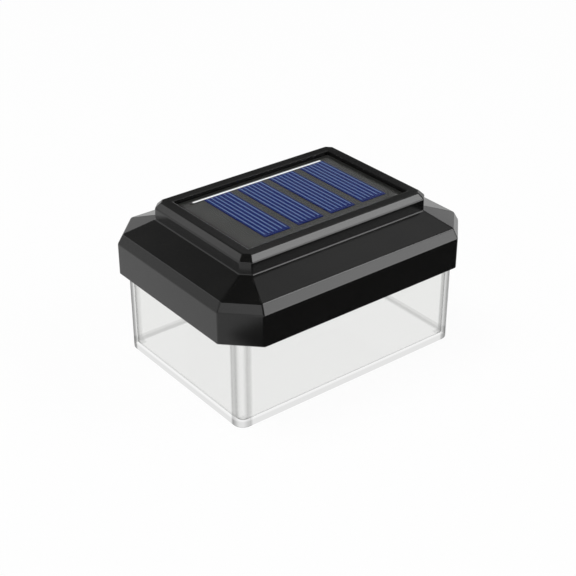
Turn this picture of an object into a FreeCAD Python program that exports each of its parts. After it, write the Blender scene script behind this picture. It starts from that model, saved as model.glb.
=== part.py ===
import FreeCAD, Part
import math
import os
import Sketcher

# Solar fence light. Millimetres, +Z up. The origin is the middle of the lens's bottom face.
# +X runs along the cap's long side, and +Y points at the fence.

doc = FreeCAD.newDocument("fence_light")
sheet = doc.addObject("Spreadsheet::Sheet", "Dims")

dimensions = [
    # the cap's outer form, from its lower edge upwards
    ("capLength", 120.0, "longest side of the skirt"),
    ("capWidth", 91.0, "short side of the skirt"),
    ("capWall", 1.8, "wall of the cap"),
    ("skirtBottom", 38.0, "lens bottom to the skirt's lower edge"),
    ("skirtHeight", 13.1, "upright skirt"),
    ("skirtCut", 12.0, "corner cut of the skirt, along each side"),
    ("bandHeight", 3.85, "steep band above the skirt"),
    ("bandInset", 2.1, "how far the band's top lies inside the skirt"),
    ("bandCut", 10.6, "corner cut at the band's top"),
    ("roofHeight", 4.6, "sloping roof"),
    ("stepInset", 14.4, "how far the raised step lies inside the skirt"),
    ("stepCut", 3.2, "corner cut of the step"),
    ("stepHeight", 4.95, "upright wall of the step"),
    ("bevelHeight", 2.3, "bevel round the top"),
    ("bevelInset", 2.3, "how far the rim lies inside the step"),
    ("rimCut", 2.1, "corner cut of the rim"),
    ("hollowDrop", 1.6, "how far the hollow's slopes lie below the outer ones"),
    ("roofFloor", 1.6, "floor under the solar panel"),
    # the solar panel
    ("windowLength", 78.4, "sunk window"),
    ("windowWidth", 49.4, "sunk window"),
    ("panelGap", 0.2, "gap round the panel"),
    ("panelDrop", 1.2, "rim to the panel's face"),
    ("coverThick", 0.6, "clear cover"),
    ("coverEdge", 2.0, "full thickness along the cover's edges"),
    ("coverRelief", 0.26, "hollow under the cover that clears the cells"),
    ("boardThick", 1.6, "panel board"),
    ("tapeThick", 0.3, "adhesive tape"),
    ("tapeWidth", 4.0, "adhesive tape"),
    ("cellCount", 4, "cells in a row"),
    ("cellLength", 39.5, "one cell, across the panel"),
    ("cellWidth", 12.2, "one cell, along the panel"),
    ("cellPitch", 15.95, "cell to cell"),
    ("cellThick", 0.22, "one cell"),
    ("cellShiftX", 2.9, "middle of the row of cells"),
    ("cellShiftY", 0.9, "middle of the row of cells"),
    ("ribbonWidth", 1.6, "ribbon along the cells' back ends"),
    ("ribbonLength", 66.0, "ribbon"),
    ("ribbonX", -0.5, "middle of the ribbon"),
    ("ribbonThick", 0.2, "ribbon"),
    ("ribbonGap", 0.05, "between the ribbon and the cells"),
    ("leadHoleX", -30.0, "hole that the panel's leads go through"),
    ("leadHoleY", -4.0, "hole that the panel's leads go through"),
    ("leadHoleLength", 6.0, "hole that the panel's leads go through"),
    ("leadHoleWidth", 8.0, "hole that the panel's leads go through"),
    # screws that hold the base plate
    ("bossSpanX", 92.0, "between the cap's bosses"),
    ("bossSpanY", 60.0, "between the cap's bosses"),
    ("bossDiameter", 5.2, "cap boss"),
    ("bossHeight", 11.5, "cap boss"),
    ("bossBore", 2.6, "screw hole in the boss"),
    ("bossBoreDepth", 8.0, "screw hole in the boss"),
    ("screwShank", 2.5, "base screw"),
    ("screwHead", 4.8, "base screw"),
    ("screwHeadHeight", 1.7, "base screw"),
    ("screwLength", 9.0, "base screw under its head"),
    ("screwHoleGap", 0.3, "between a base screw and its hole in the plate"),
    ("recessAcross", 2.0, "drive in a screw head"),
    ("recessWidth", 0.5, "drive in a screw head"),
    ("recessDepth", 0.9, "drive in a screw head"),
    # base plate and collar
    ("plateBottom", 44.0, "underside of the base plate"),
    ("plateThick", 2.0, "base plate"),
    ("plateGap", 0.3, "between base plate and cap"),
    ("collarHeight", 5.5, "collar under the plate"),
    ("collarThick", 1.6, "collar"),
    ("collarGap", 0.4, "between collar and lens"),
    ("grooveLow", 2.0, "collar's lower edge to the seal's groove"),
    ("grooveHeight", 1.6, "seal's groove"),
    ("grooveDepth", 0.9, "seal's groove"),
    ("sealGap", 0.05, "between seal and lens"),
    ("sealRoot", 0.02, "between seal and the groove's floor"),
    ("sealHeight", 1.4, "seal"),
    ("overcut", 0.5, "how far a cut runs past what it cuts"),
    # lens
    ("lensLength", 109.0, "outside"),
    ("lensWidth", 77.4, "outside"),
    ("lensWall", 2.0, "wall and bottom"),
    ("lensCorner", 4.5, "upright outer corners"),
    ("lensTopGap", 0.2, "between lens and base plate"),
    ("lensFoot", 0.6, "outer edge round the bottom"),
    ("lensInnerFoot", 1.2, "inner edge round the bottom"),
    # battery bay
    ("bayStart", -29.5, "x of the bay's spring end"),
    ("bayEnd", 27.0, "x of the bay's other end"),
    ("bayY", 14.0, "middle of the bay"),
    ("bayWidth", 15.0, "opening of the bay"),
    ("bayWall", 1.2, "wall round the bay"),
    ("bayHeight", 9.0, "wall round the bay"),
    ("batteryDiameter", 14.2, "cell"),
    ("batteryLength", 49.2, "cell without its tip"),
    ("batteryZ", 53.7, "height of the cell's axis"),
    ("tipDiameter", 5.4, "cell's tip"),
    ("tipLength", 1.2, "cell's tip"),
    ("contactThick", 0.4, "contact plates"),
    ("contactSide", 9.0, "contact plates"),
    ("contactBump", 0.5, "bump that meets the tip"),
    ("bumpDiameter", 4.0, "bump that meets the tip"),
    ("leafReach", 4.2, "how far the spring leaf stands out"),
    ("leafFoot", 1.35, "height of the leaf's lower end"),
    ("leafStart", 0.8, "how far the leaf's lower end stands out"),
    ("leafLip", 0.3, "thickness of the leaf's lower end"),
    # battery door and its hinge
    ("doorThick", 1.1, "door"),
    ("doorGap", 0.2, "between door and base plate"),
    ("doorMargin", 2.0, "how far the door laps the opening"),
    ("doorEarGap", 0.8, "between the door's leaf and the base plate's ears"),
    ("gripSpan", 12.0, "the door's grip ribs, along the door"),
    ("gripWidth", 0.8, "one grip rib"),
    ("gripHeight", 0.5, "one grip rib"),
    ("gripPitch", 1.8, "rib to rib"),
    ("gripCount", 3, "grip ribs"),
    ("hingeY", 26.2, "hinge axis"),
    ("hingeDrop", 1.8, "hinge axis below the base plate"),
    ("hingeRadius", 1.5, "knuckles"),
    ("pinDiameter", 1.5, "hinge pin"),
    ("pinBore", 1.7, "hole in the door's knuckles"),
    ("pinLength", 46.0, "hinge pin"),
    ("knuckleLength", 10.0, "door knuckles"),
    ("knuckleSpan", 26.0, "between the middles of the door knuckles"),
    ("knuckleGap", 0.3, "between knuckles"),
    ("latchWidth", 6.0, "tongue that holds the door's free edge"),
    ("latchHeight", 1.4, "tongue"),
    ("latchThick", 1.0, "tongue"),
    ("latchGap", 0.4, "between tongue and bay"),
    # circuit board
    ("pcbLength", 56.0, "circuit board"),
    ("pcbWidth", 19.0, "circuit board"),
    ("pcbThick", 1.6, "circuit board"),
    ("pcbX", 8.0, "middle of the circuit board"),
    ("pcbY", -14.5, "middle of the circuit board"),
    ("pcbBottom", 49.6, "underside of the circuit board"),
    ("pcbScrewSpan", 50.0, "between the board's screws"),
    ("pcbScrewY", -8.0, "the board's screws"),
    ("pcbPost", 5.0, "posts under the board"),
    ("pcbScrewBore", 2.0, "holes for the board's screws"),
    ("pcbScrewShank", 1.9, "board's screws"),
    ("pcbScrewHead", 3.8, "board's screws"),
    ("pcbScrewHeadHeight", 1.4, "board's screws"),
    ("pcbScrewLength", 5.0, "board's screws under their heads"),
    ("pcbScrewSpare", 0.4, "bore below a board screw's end"),
    ("ledSpan", 18.0, "between the lamps"),
    ("ledY", -14.0, "lamps"),
    ("ledDiameter", 5.0, "lamp"),
    ("ledFlange", 5.8, "lamp's flange"),
    ("ledFlangeThick", 1.0, "lamp's flange"),
    ("ledLength", 8.6, "lamp, flange to tip"),
    ("ledHole", 5.4, "lamp holes in the base plate"),
    ("ledWell", 8.4, "funnel round a lamp, at the plate's underside"),
    ("ledWellDepth", 1.0, "funnel round a lamp"),
    ("chipX", 0.0, "driver chip"),
    ("chipLength", 5.0, "driver chip"),
    ("chipWidth", 4.0, "driver chip"),
    ("chipThick", 1.5, "driver chip"),
    ("coilX", 15.5, "inductor"),
    ("coilDiameter", 6.0, "inductor"),
    ("coilHeight", 4.0, "inductor"),
    ("canX", 22.0, "capacitor"),
    ("canY", -17.5, "capacitor"),
    ("canDiameter", 5.0, "capacitor"),
    ("canHeight", 6.0, "capacitor"),
    # slide switch
    ("switchX", 24.0, "switch"),
    ("switchY", -17.5, "switch"),
    ("switchLength", 9.0, "switch body"),
    ("switchWidth", 4.4, "switch body"),
    ("switchHeight", 3.5, "switch body"),
    ("switchTravel", 2.0, "slider's travel"),
    ("sliderLength", 2.2, "slider, along its travel"),
    ("sliderWidth", 1.8, "slider"),
    ("sliderHeight", 5.4, "slider"),
    ("sliderLow", 2.2, "how far the slider stands below the base plate"),
    ("sliderGap", 0.2, "round the slider in its slot"),
    # wall bracket
    ("bracketLength", 44.0, "plate against the fence"),
    ("bracketHeight", 26.0, "plate against the fence"),
    ("bracketThick", 2.5, "plate against the fence"),
    ("bracketGap", 0.2, "between the plate's top edge and the skirt"),
    ("tongueLength", 38.0, "tongue inside the skirt"),
    ("tongueThick", 2.3, "tongue"),
    ("tongueGap", 0.3, "between tongue and skirt"),
    ("tongueRise", 10.0, "tongue above the skirt's lower edge"),
    ("tongueLap", 10.0, "tongue down behind the plate"),
    ("tongueBevel", 0.8, "lead-in round the tongue's top"),
    ("bracketCorner", 3.0, "lower corners of the plate"),
    ("notchLength", 44.0, "notch in the base plate for the tongue"),
    ("notchDepth", 3.0, "notch in the base plate"),
    ("guideThick", 1.5, "guide ribs beside the tongue"),
    ("guideDepth", 3.0, "guide ribs, out from the skirt"),
    ("guideHeight", 9.0, "guide ribs"),
    ("guideRoot", 0.2, "how far the guide ribs run into the skirt"),
    ("fixingSpan", 26.0, "between the wall screws"),
    ("fixingZ", 19.0, "height of the wall screws"),
    ("fixingBore", 4.2, "wall screw holes"),
    ("fixingHead", 8.0, "countersink"),
    ("sinkSlope", 45.0, "countersinks and funnels, degrees"),
    # leads
    ("leadDiameter", 1.2, "insulated wire"),
]

for row, (alias, value, note) in enumerate(dimensions, start=1):
    sheet.set("A%d" % row, alias)
    sheet.set("B%d" % row, str(value))
    sheet.set("C%d" % row, note)
    sheet.setAlias("B%d" % row, alias)
doc.recompute()

D = {alias: value for alias, value, note in dimensions}

# heights and sizes that follow from the driving dimensions, as expressions on the sheet
skirtTop = "Dims.skirtBottom + Dims.skirtHeight"
bandTop = skirtTop + " + Dims.bandHeight"
roofTop = bandTop + " + Dims.roofHeight"
stepTop = roofTop + " + Dims.stepHeight"
capTop = stepTop + " + Dims.bevelHeight"
panelFace = capTop + " - Dims.panelDrop"
boardTop = panelFace + " - Dims.coverThick"
boardBottom = boardTop + " - Dims.boardThick"
recessFloor = boardBottom + " - Dims.tapeThick"
hollowTop = recessFloor + " - Dims.roofFloor"
plateTop = "Dims.plateBottom + Dims.plateThick"
collarBottom = "Dims.plateBottom - Dims.collarHeight"
grooveBottom = collarBottom + " + Dims.grooveLow"
pcbTop = "Dims.pcbBottom + Dims.pcbThick"
skirtBackY = "Dims.capWidth / 2"
hollowCutLoss = "Dims.capWall * (2 - sqrt(2))"
doorTop = "Dims.plateBottom - Dims.doorGap"
hingeZ = "Dims.plateBottom - Dims.hingeDrop"
bracketTop = "Dims.skirtBottom - Dims.bracketGap"


# ---------------------------------------------------------------- building blocks
def newBody(name):
    body = doc.addObject("PartDesign::Body", name)
    body.Label = name
    return body


def originPlane(body, role):
    for feature in body.Origin.OriginFeatures:
        if feature.Role == role:
            return feature
    raise ValueError("no plane " + role)


def newSketch(body, name, level="0", x="0", y="0", role="XY_Plane"):
    """A sketch on one of the body's own planes, moved by the offsets given as expressions."""
    sketch = body.newObject("Sketcher::SketchObject", name)
    sketch.AttachmentSupport = [(originPlane(body, role), "")]
    sketch.MapMode = "FlatFace"
    sketch.setExpression("AttachmentOffset.Base.x", x)
    sketch.setExpression("AttachmentOffset.Base.y", y)
    sketch.setExpression("AttachmentOffset.Base.z", level)
    return sketch


def nameSize(sketch, constraint, name, expression):
    index = sketch.addConstraint(constraint)
    sketch.renameConstraint(index, name)
    sketch.setExpression("Constraints." + name, expression)


def closedLines(sketch, points):
    """Lines through the points and back, joined end to end. Returns the lines' numbers."""
    count = len(points)
    lines = []
    for i in range(count):
        start = FreeCAD.Vector(points[i][0], points[i][1], 0)
        end = FreeCAD.Vector(points[(i + 1) % count][0], points[(i + 1) % count][1], 0)
        lines.append(sketch.addGeometry(Part.LineSegment(start, end), False))
    for i in range(count):
        sketch.addConstraint(Sketcher.Constraint("Coincident", lines[i], 2, lines[(i + 1) % count], 1))
    return lines


def cutCornerRectangle(sketch, length, width, cut):
    """A rectangle about the sketch's origin whose four corners are cut at 45 degrees."""
    a, b, c = 30.0, 20.0, 5.0
    points = [(-a + c, -b), (a - c, -b), (a, -b + c), (a, b - c),
              (a - c, b), (-a + c, b), (-a, b - c), (-a, -b + c)]
    front, frontRight, right, backRight, back, backLeft, left, frontLeft = closedLines(sketch, points)
    sketch.addConstraint(Sketcher.Constraint("Symmetric", front, 1, front, 2, -2))
    sketch.addConstraint(Sketcher.Constraint("Symmetric", back, 1, back, 2, -2))
    sketch.addConstraint(Sketcher.Constraint("Symmetric", right, 1, right, 2, -1))
    sketch.addConstraint(Sketcher.Constraint("Symmetric", left, 1, left, 2, -1))
    sketch.addConstraint(Sketcher.Constraint("Symmetric", front, 1, back, 2, -1))
    sketch.addConstraint(Sketcher.Constraint("Symmetric", right, 1, left, 2, -2))
    nameSize(sketch, Sketcher.Constraint("DistanceX", left, 2, right, 1, 2 * a), "length", length)
    nameSize(sketch, Sketcher.Constraint("DistanceY", front, 1, back, 2, 2 * b), "width", width)
    nameSize(sketch, Sketcher.Constraint("DistanceX", frontRight, 1, frontRight, 2, c), "cutX", cut)
    nameSize(sketch, Sketcher.Constraint("DistanceY", frontRight, 1, frontRight, 2, c), "cutY", cut)


def rectangle(sketch, length, width, prefix="box"):
    """A rectangle about the sketch's origin."""
    a, b = 30.0, 20.0
    points = [(-a, -b), (a, -b), (a, b), (-a, b)]
    front, right, back, left = closedLines(sketch, points)
    for line in (front, back):
        sketch.addConstraint(Sketcher.Constraint("Horizontal", line))
    for line in (right, left):
        sketch.addConstraint(Sketcher.Constraint("Vertical", line))
    sketch.addConstraint(Sketcher.Constraint("Symmetric", front, 1, back, 1, -1, 1))
    nameSize(sketch, Sketcher.Constraint("DistanceX", front, 1, front, 2, 2 * a), prefix + "Length", length)
    nameSize(sketch, Sketcher.Constraint("DistanceY", right, 1, right, 2, 2 * b), prefix + "Width", width)


def roundedRectangle(sketch, length, width, radius, prefix="box"):
    """A rectangle about the sketch's origin with round corners."""
    a, b, r = 30.0, 20.0, 4.0
    corners = [(a - r, -b + r, -90), (a - r, b - r, 0), (-a + r, b - r, 90), (-a + r, -b + r, 180)]
    sides = [((-a + r, -b), (a - r, -b)), ((a, -b + r), (a, b - r)),
             ((a - r, b), (-a + r, b)), ((-a, b - r), (-a, -b + r))]
    lines = []
    arcs = []
    for (start, end), (x, y, angle) in zip(sides, corners):
        line = Part.LineSegment(FreeCAD.Vector(start[0], start[1], 0), FreeCAD.Vector(end[0], end[1], 0))
        lines.append(sketch.addGeometry(line, False))
        circle = Part.Circle(FreeCAD.Vector(x, y, 0), FreeCAD.Vector(0, 0, 1), r)
        arc = Part.ArcOfCircle(circle, math.radians(angle), math.radians(angle + 90))
        arcs.append(sketch.addGeometry(arc, False))
    for i in range(4):
        sketch.addConstraint(Sketcher.Constraint("Tangent", lines[i], 2, arcs[i], 1))
        sketch.addConstraint(Sketcher.Constraint("Tangent", arcs[i], 2, lines[(i + 1) % 4], 1))
    for i in range(3):
        sketch.addConstraint(Sketcher.Constraint("Equal", arcs[i], arcs[i + 1]))
    for i in (0, 2):
        sketch.addConstraint(Sketcher.Constraint("Horizontal", lines[i]))
    for i in (1, 3):
        sketch.addConstraint(Sketcher.Constraint("Vertical", lines[i]))
    sketch.addConstraint(Sketcher.Constraint("Symmetric", lines[0], 1, lines[2], 1, -1, 1))
    nameSize(sketch, Sketcher.Constraint("DistanceX", lines[3], 1, lines[1], 1, 2 * a), prefix + "Length", length)
    nameSize(sketch, Sketcher.Constraint("DistanceY", lines[0], 1, lines[2], 1, 2 * b), prefix + "Width", width)
    nameSize(sketch, Sketcher.Constraint("Radius", arcs[0], r), prefix + "Corner", radius)


def circlesInRow(sketch, span, diameter):
    """Two equal circles on the sketch's X axis, either side of its origin."""
    a, r = 20.0, 2.0
    left = sketch.addGeometry(Part.Circle(FreeCAD.Vector(-a, 0, 0), FreeCAD.Vector(0, 0, 1), r), False)
    right = sketch.addGeometry(Part.Circle(FreeCAD.Vector(a, 0, 0), FreeCAD.Vector(0, 0, 1), r), False)
    sketch.addConstraint(Sketcher.Constraint("Symmetric", left, 3, right, 3, -1, 1))
    sketch.addConstraint(Sketcher.Constraint("PointOnObject", left, 3, -1))
    sketch.addConstraint(Sketcher.Constraint("Equal", left, right))
    nameSize(sketch, Sketcher.Constraint("DistanceX", left, 3, right, 3, 2 * a), "span", span)
    nameSize(sketch, Sketcher.Constraint("Diameter", left, 2 * r), "diameter", diameter)


def circlesAtCorners(sketch, spanX, spanY, diameter):
    """Four equal circles at the corners of a rectangle about the sketch's origin."""
    a, b, r = 20.0, 15.0, 2.0
    places = [(-a, -b), (a, -b), (a, b), (-a, b)]
    rings = [sketch.addGeometry(Part.Circle(FreeCAD.Vector(x, y, 0), FreeCAD.Vector(0, 0, 1), r), False)
             for x, y in places]
    sketch.addConstraint(Sketcher.Constraint("Symmetric", rings[0], 3, rings[1], 3, -2))
    sketch.addConstraint(Sketcher.Constraint("Symmetric", rings[3], 3, rings[2], 3, -2))
    sketch.addConstraint(Sketcher.Constraint("Symmetric", rings[0], 3, rings[3], 3, -1))
    for i in range(3):
        sketch.addConstraint(Sketcher.Constraint("Equal", rings[i], rings[i + 1]))
    nameSize(sketch, Sketcher.Constraint("DistanceX", rings[0], 3, rings[1], 3, 2 * a), "spanX", spanX)
    nameSize(sketch, Sketcher.Constraint("DistanceY", rings[0], 3, rings[3], 3, 2 * b), "spanY", spanY)
    nameSize(sketch, Sketcher.Constraint("Diameter", rings[0], 2 * r), "diameter", diameter)


def oneCircle(sketch, diameter):
    """A circle about the sketch's origin."""
    ring = sketch.addGeometry(Part.Circle(FreeCAD.Vector(0, 0, 0), FreeCAD.Vector(0, 0, 1), 2.0), False)
    sketch.addConstraint(Sketcher.Constraint("Coincident", ring, 3, -1, 1))
    nameSize(sketch, Sketcher.Constraint("Diameter", ring, 4.0), "diameter", diameter)


def pad(body, sketch, height, downwards=False):
    feature = body.newObject("PartDesign::Pad", sketch.Name + "_pad")
    feature.Profile = sketch
    feature.Reversed = downwards
    feature.setExpression("Length", height)
    body.Tip = feature
    return feature


def pocket(body, sketch, depth, upwards=False):
    """Takes the sketch's area away, downwards unless upwards is true, and tests that it cut."""
    doc.recompute()
    before = body.Shape.Volume
    feature = body.newObject("PartDesign::Pocket", sketch.Name + "_pocket")
    feature.Profile = sketch
    feature.Reversed = upwards
    feature.setExpression("Length", depth)
    body.Tip = feature
    doc.recompute()
    if body.Shape.Volume > before - 0.01:
        raise ValueError(feature.Name + " cuts nothing")
    return feature


def loft(body, lower, upper, additive=True):
    kind = "PartDesign::AdditiveLoft" if additive else "PartDesign::SubtractiveLoft"
    feature = body.newObject(kind, lower.Name + "_loft")
    feature.Profile = lower
    feature.Sections = [upper]
    feature.Ruled = True
    body.Tip = feature
    return feature


def dressEdges(body, kind, name, wanted):
    """Adds a fillet or chamfer to the edges for which wanted(edge) is true."""
    doc.recompute()
    base = body.Tip
    names = ["Edge%d" % (i + 1) for i, edge in enumerate(base.Shape.Edges) if wanted(edge)]
    feature = body.newObject("PartDesign::" + kind, name)
    feature.Base = (base, names)
    body.Tip = feature
    return feature


def filletEdges(body, name, radius, wanted):
    dressEdges(body, "Fillet", name, wanted).setExpression("Radius", radius)


def chamferEdges(body, name, size, wanted):
    dressEdges(body, "Chamfer", name, wanted).setExpression("Size", size)


def countersink(body, sketch, depth, upwards=False):
    """A pocket that grows narrower as it goes in."""
    pocket(body, sketch, depth, upwards).setExpression("TaperAngle", "-Dims.sinkSlope")


def place(item, x="0", y="0", z="0"):
    item.setExpression("Placement.Base.x", x)
    item.setExpression("Placement.Base.y", y)
    item.setExpression("Placement.Base.z", z)
    return item


def turn(item, axis, degrees):
    item.Placement = FreeCAD.Placement(FreeCAD.Vector(), FreeCAD.Rotation(axis, degrees))
    return item


def block(name, length, width, height, x="0", y="0", z="0"):
    """A box whose bottom face is centred on x, y and lies at z."""
    item = doc.addObject("Part::Box", name)
    item.Label = name
    item.setExpression("Length", length)
    item.setExpression("Width", width)
    item.setExpression("Height", height)
    return place(item, "(%s) - (%s) / 2" % (x, length), "(%s) - (%s) / 2" % (y, width), z)


def cylinder(name, diameter, height, x="0", y="0", z="0"):
    """An upright cylinder that starts at z."""
    item = doc.addObject("Part::Cylinder", name)
    item.Label = name
    item.setExpression("Radius", "(%s) / 2" % diameter)
    item.setExpression("Height", height)
    return place(item, x, y, z)


def rod(name, diameter, length, x="0", y="0", z="0"):
    """A cylinder along X that starts at x."""
    item = doc.addObject("Part::Cylinder", name)
    item.Label = name
    turn(item, FreeCAD.Vector(0, 1, 0), 90)
    item.setExpression("Radius", "(%s) / 2" % diameter)
    item.setExpression("Height", length)
    return place(item, x, y, z)


def fused(name, items):
    item = doc.addObject("Part::MultiFuse", name)
    item.Label = name
    item.Shapes = items
    return item


def cutFrom(name, base, tool):
    item = doc.addObject("Part::Cut", name)
    item.Label = name
    item.Base = base
    item.Tool = tool
    return item


# ---------------------------------------------------------------- the cap and the solar panel
def makeTopCap():
    body = newBody("top_cap")
    # outer form: height, inset from the skirt and corner cut at each level
    levels = [("skirtTop", skirtTop, "0", "Dims.skirtCut"),
              ("bandTop", bandTop, "Dims.bandInset", "Dims.bandCut"),
              ("roofTop", roofTop, "Dims.stepInset", "Dims.stepCut"),
              ("stepTop", stepTop, "Dims.stepInset", "Dims.stepCut"),
              ("capTop", capTop, "Dims.stepInset + Dims.bevelInset", "Dims.rimCut")]

    def outline(name, level, inset, cut):
        sketch = newSketch(body, "cap_" + name, level)
        cutCornerRectangle(sketch, "Dims.capLength - 2 * (%s)" % inset,
                           "Dims.capWidth - 2 * (%s)" % inset, cut)
        return sketch

    skirt = outline("skirt", "Dims.skirtBottom", "0", "Dims.skirtCut")
    pad(body, skirt, "Dims.skirtHeight")
    sections = [outline(*level) for level in levels]
    for lower, upper in zip(sections, sections[1:]):
        loft(body, lower, upper)

    # the hollow: the outer form moved in by the wall and down by hollowDrop
    hollowLevels = [("hollowSkirt", skirtTop, "0", "Dims.skirtCut"),
                    ("hollowBand", bandTop, "Dims.bandInset", "Dims.bandCut"),
                    ("hollowRoof", roofTop, "Dims.stepInset", "Dims.stepCut")]
    mouth = outline("mouth", "Dims.skirtBottom", "Dims.capWall", "Dims.skirtCut - " + hollowCutLoss)
    pocket(body, mouth, "Dims.skirtHeight - Dims.hollowDrop", upwards=True)
    hollows = [outline(name, level + " - Dims.hollowDrop", inset + " + Dims.capWall",
                       cut + " - " + hollowCutLoss)
               for name, level, inset, cut in hollowLevels]
    for lower, upper in zip(hollows, hollows[1:]):
        loft(body, lower, upper, additive=False)
    attic = outline("attic", roofTop + " - Dims.hollowDrop", "Dims.stepInset + Dims.capWall",
                    "Dims.stepCut - " + hollowCutLoss)
    pocket(body, attic, "(%s) - (%s - Dims.hollowDrop)" % (hollowTop, roofTop), upwards=True)

    # the sunk window, and the hole that the panel's leads go through
    window = newSketch(body, "cap_window", capTop)
    rectangle(window, "Dims.windowLength", "Dims.windowWidth")
    pocket(body, window, "(%s) - (%s)" % (capTop, recessFloor))
    leadHole = newSketch(body, "cap_lead_hole", recessFloor, "Dims.leadHoleX", "Dims.leadHoleY")
    rectangle(leadHole, "Dims.leadHoleLength", "Dims.leadHoleWidth")
    pocket(body, leadHole, "Dims.roofFloor + Dims.overcut")

    # bosses for the base screws
    bosses = newSketch(body, "cap_bosses", plateTop)
    circlesAtCorners(bosses, "Dims.bossSpanX", "Dims.bossSpanY", "Dims.bossDiameter")
    pad(body, bosses, "Dims.bossHeight")
    bores = newSketch(body, "cap_boss_bores", plateTop)
    circlesAtCorners(bores, "Dims.bossSpanX", "Dims.bossSpanY", "Dims.bossBore")
    pocket(body, bores, "Dims.bossBoreDepth", upwards=True)

    # ribs that guide the bracket's tongue, on the inside of the back skirt
    for side, sign in (("left", "-"), ("right", "")):
        x = "%s(Dims.tongueLength / 2 + Dims.tongueGap + Dims.guideThick / 2)" % sign
        rib = newSketch(body, "cap_guide_" + side, "Dims.skirtBottom", x,
                        skirtBackY + " - Dims.capWall + Dims.guideRoot - Dims.guideDepth / 2")
        rectangle(rib, "Dims.guideThick", "Dims.guideDepth")
        pad(body, rib, "Dims.guideHeight")
    return body


def panelBlock(name, margin, height, z):
    """A flat block as large as the panel, less a margin on each side."""
    return block(name, "Dims.windowLength - 2 * (Dims.panelGap + %s)" % margin,
                 "Dims.windowWidth - 2 * (Dims.panelGap + %s)" % margin, height, z=z)


def makePanel():
    tape = cutFrom("panel_adhesive", panelBlock("tape_outer", "0", "Dims.tapeThick", recessFloor),
                   panelBlock("tape_inner", "Dims.tapeWidth", "Dims.tapeThick", recessFloor))
    board = panelBlock("panel_board", "0", "Dims.boardThick", boardBottom)
    cover = cutFrom("panel_cover", panelBlock("cover_sheet", "0", "Dims.coverThick", boardTop),
                    panelBlock("cover_relief", "Dims.coverEdge", "Dims.coverRelief", boardTop))
    cells = []
    for i in range(D["cellCount"]):
        x = "Dims.cellShiftX + (%d - (Dims.cellCount - 1) / 2) * Dims.cellPitch" % i
        cells.append(block("solar_cell_%d" % (i + 1), "Dims.cellWidth", "Dims.cellLength", "Dims.cellThick",
                           x, "Dims.cellShiftY", boardTop))
    ribbonY = "Dims.cellShiftY + Dims.cellLength / 2 + Dims.ribbonGap + Dims.ribbonWidth / 2"
    ribbon = block("bus_ribbon", "Dims.ribbonLength", "Dims.ribbonWidth", "Dims.ribbonThick", "Dims.ribbonX",
                   ribbonY, boardTop)
    return [tape, board, cover, ribbon] + cells


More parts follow.
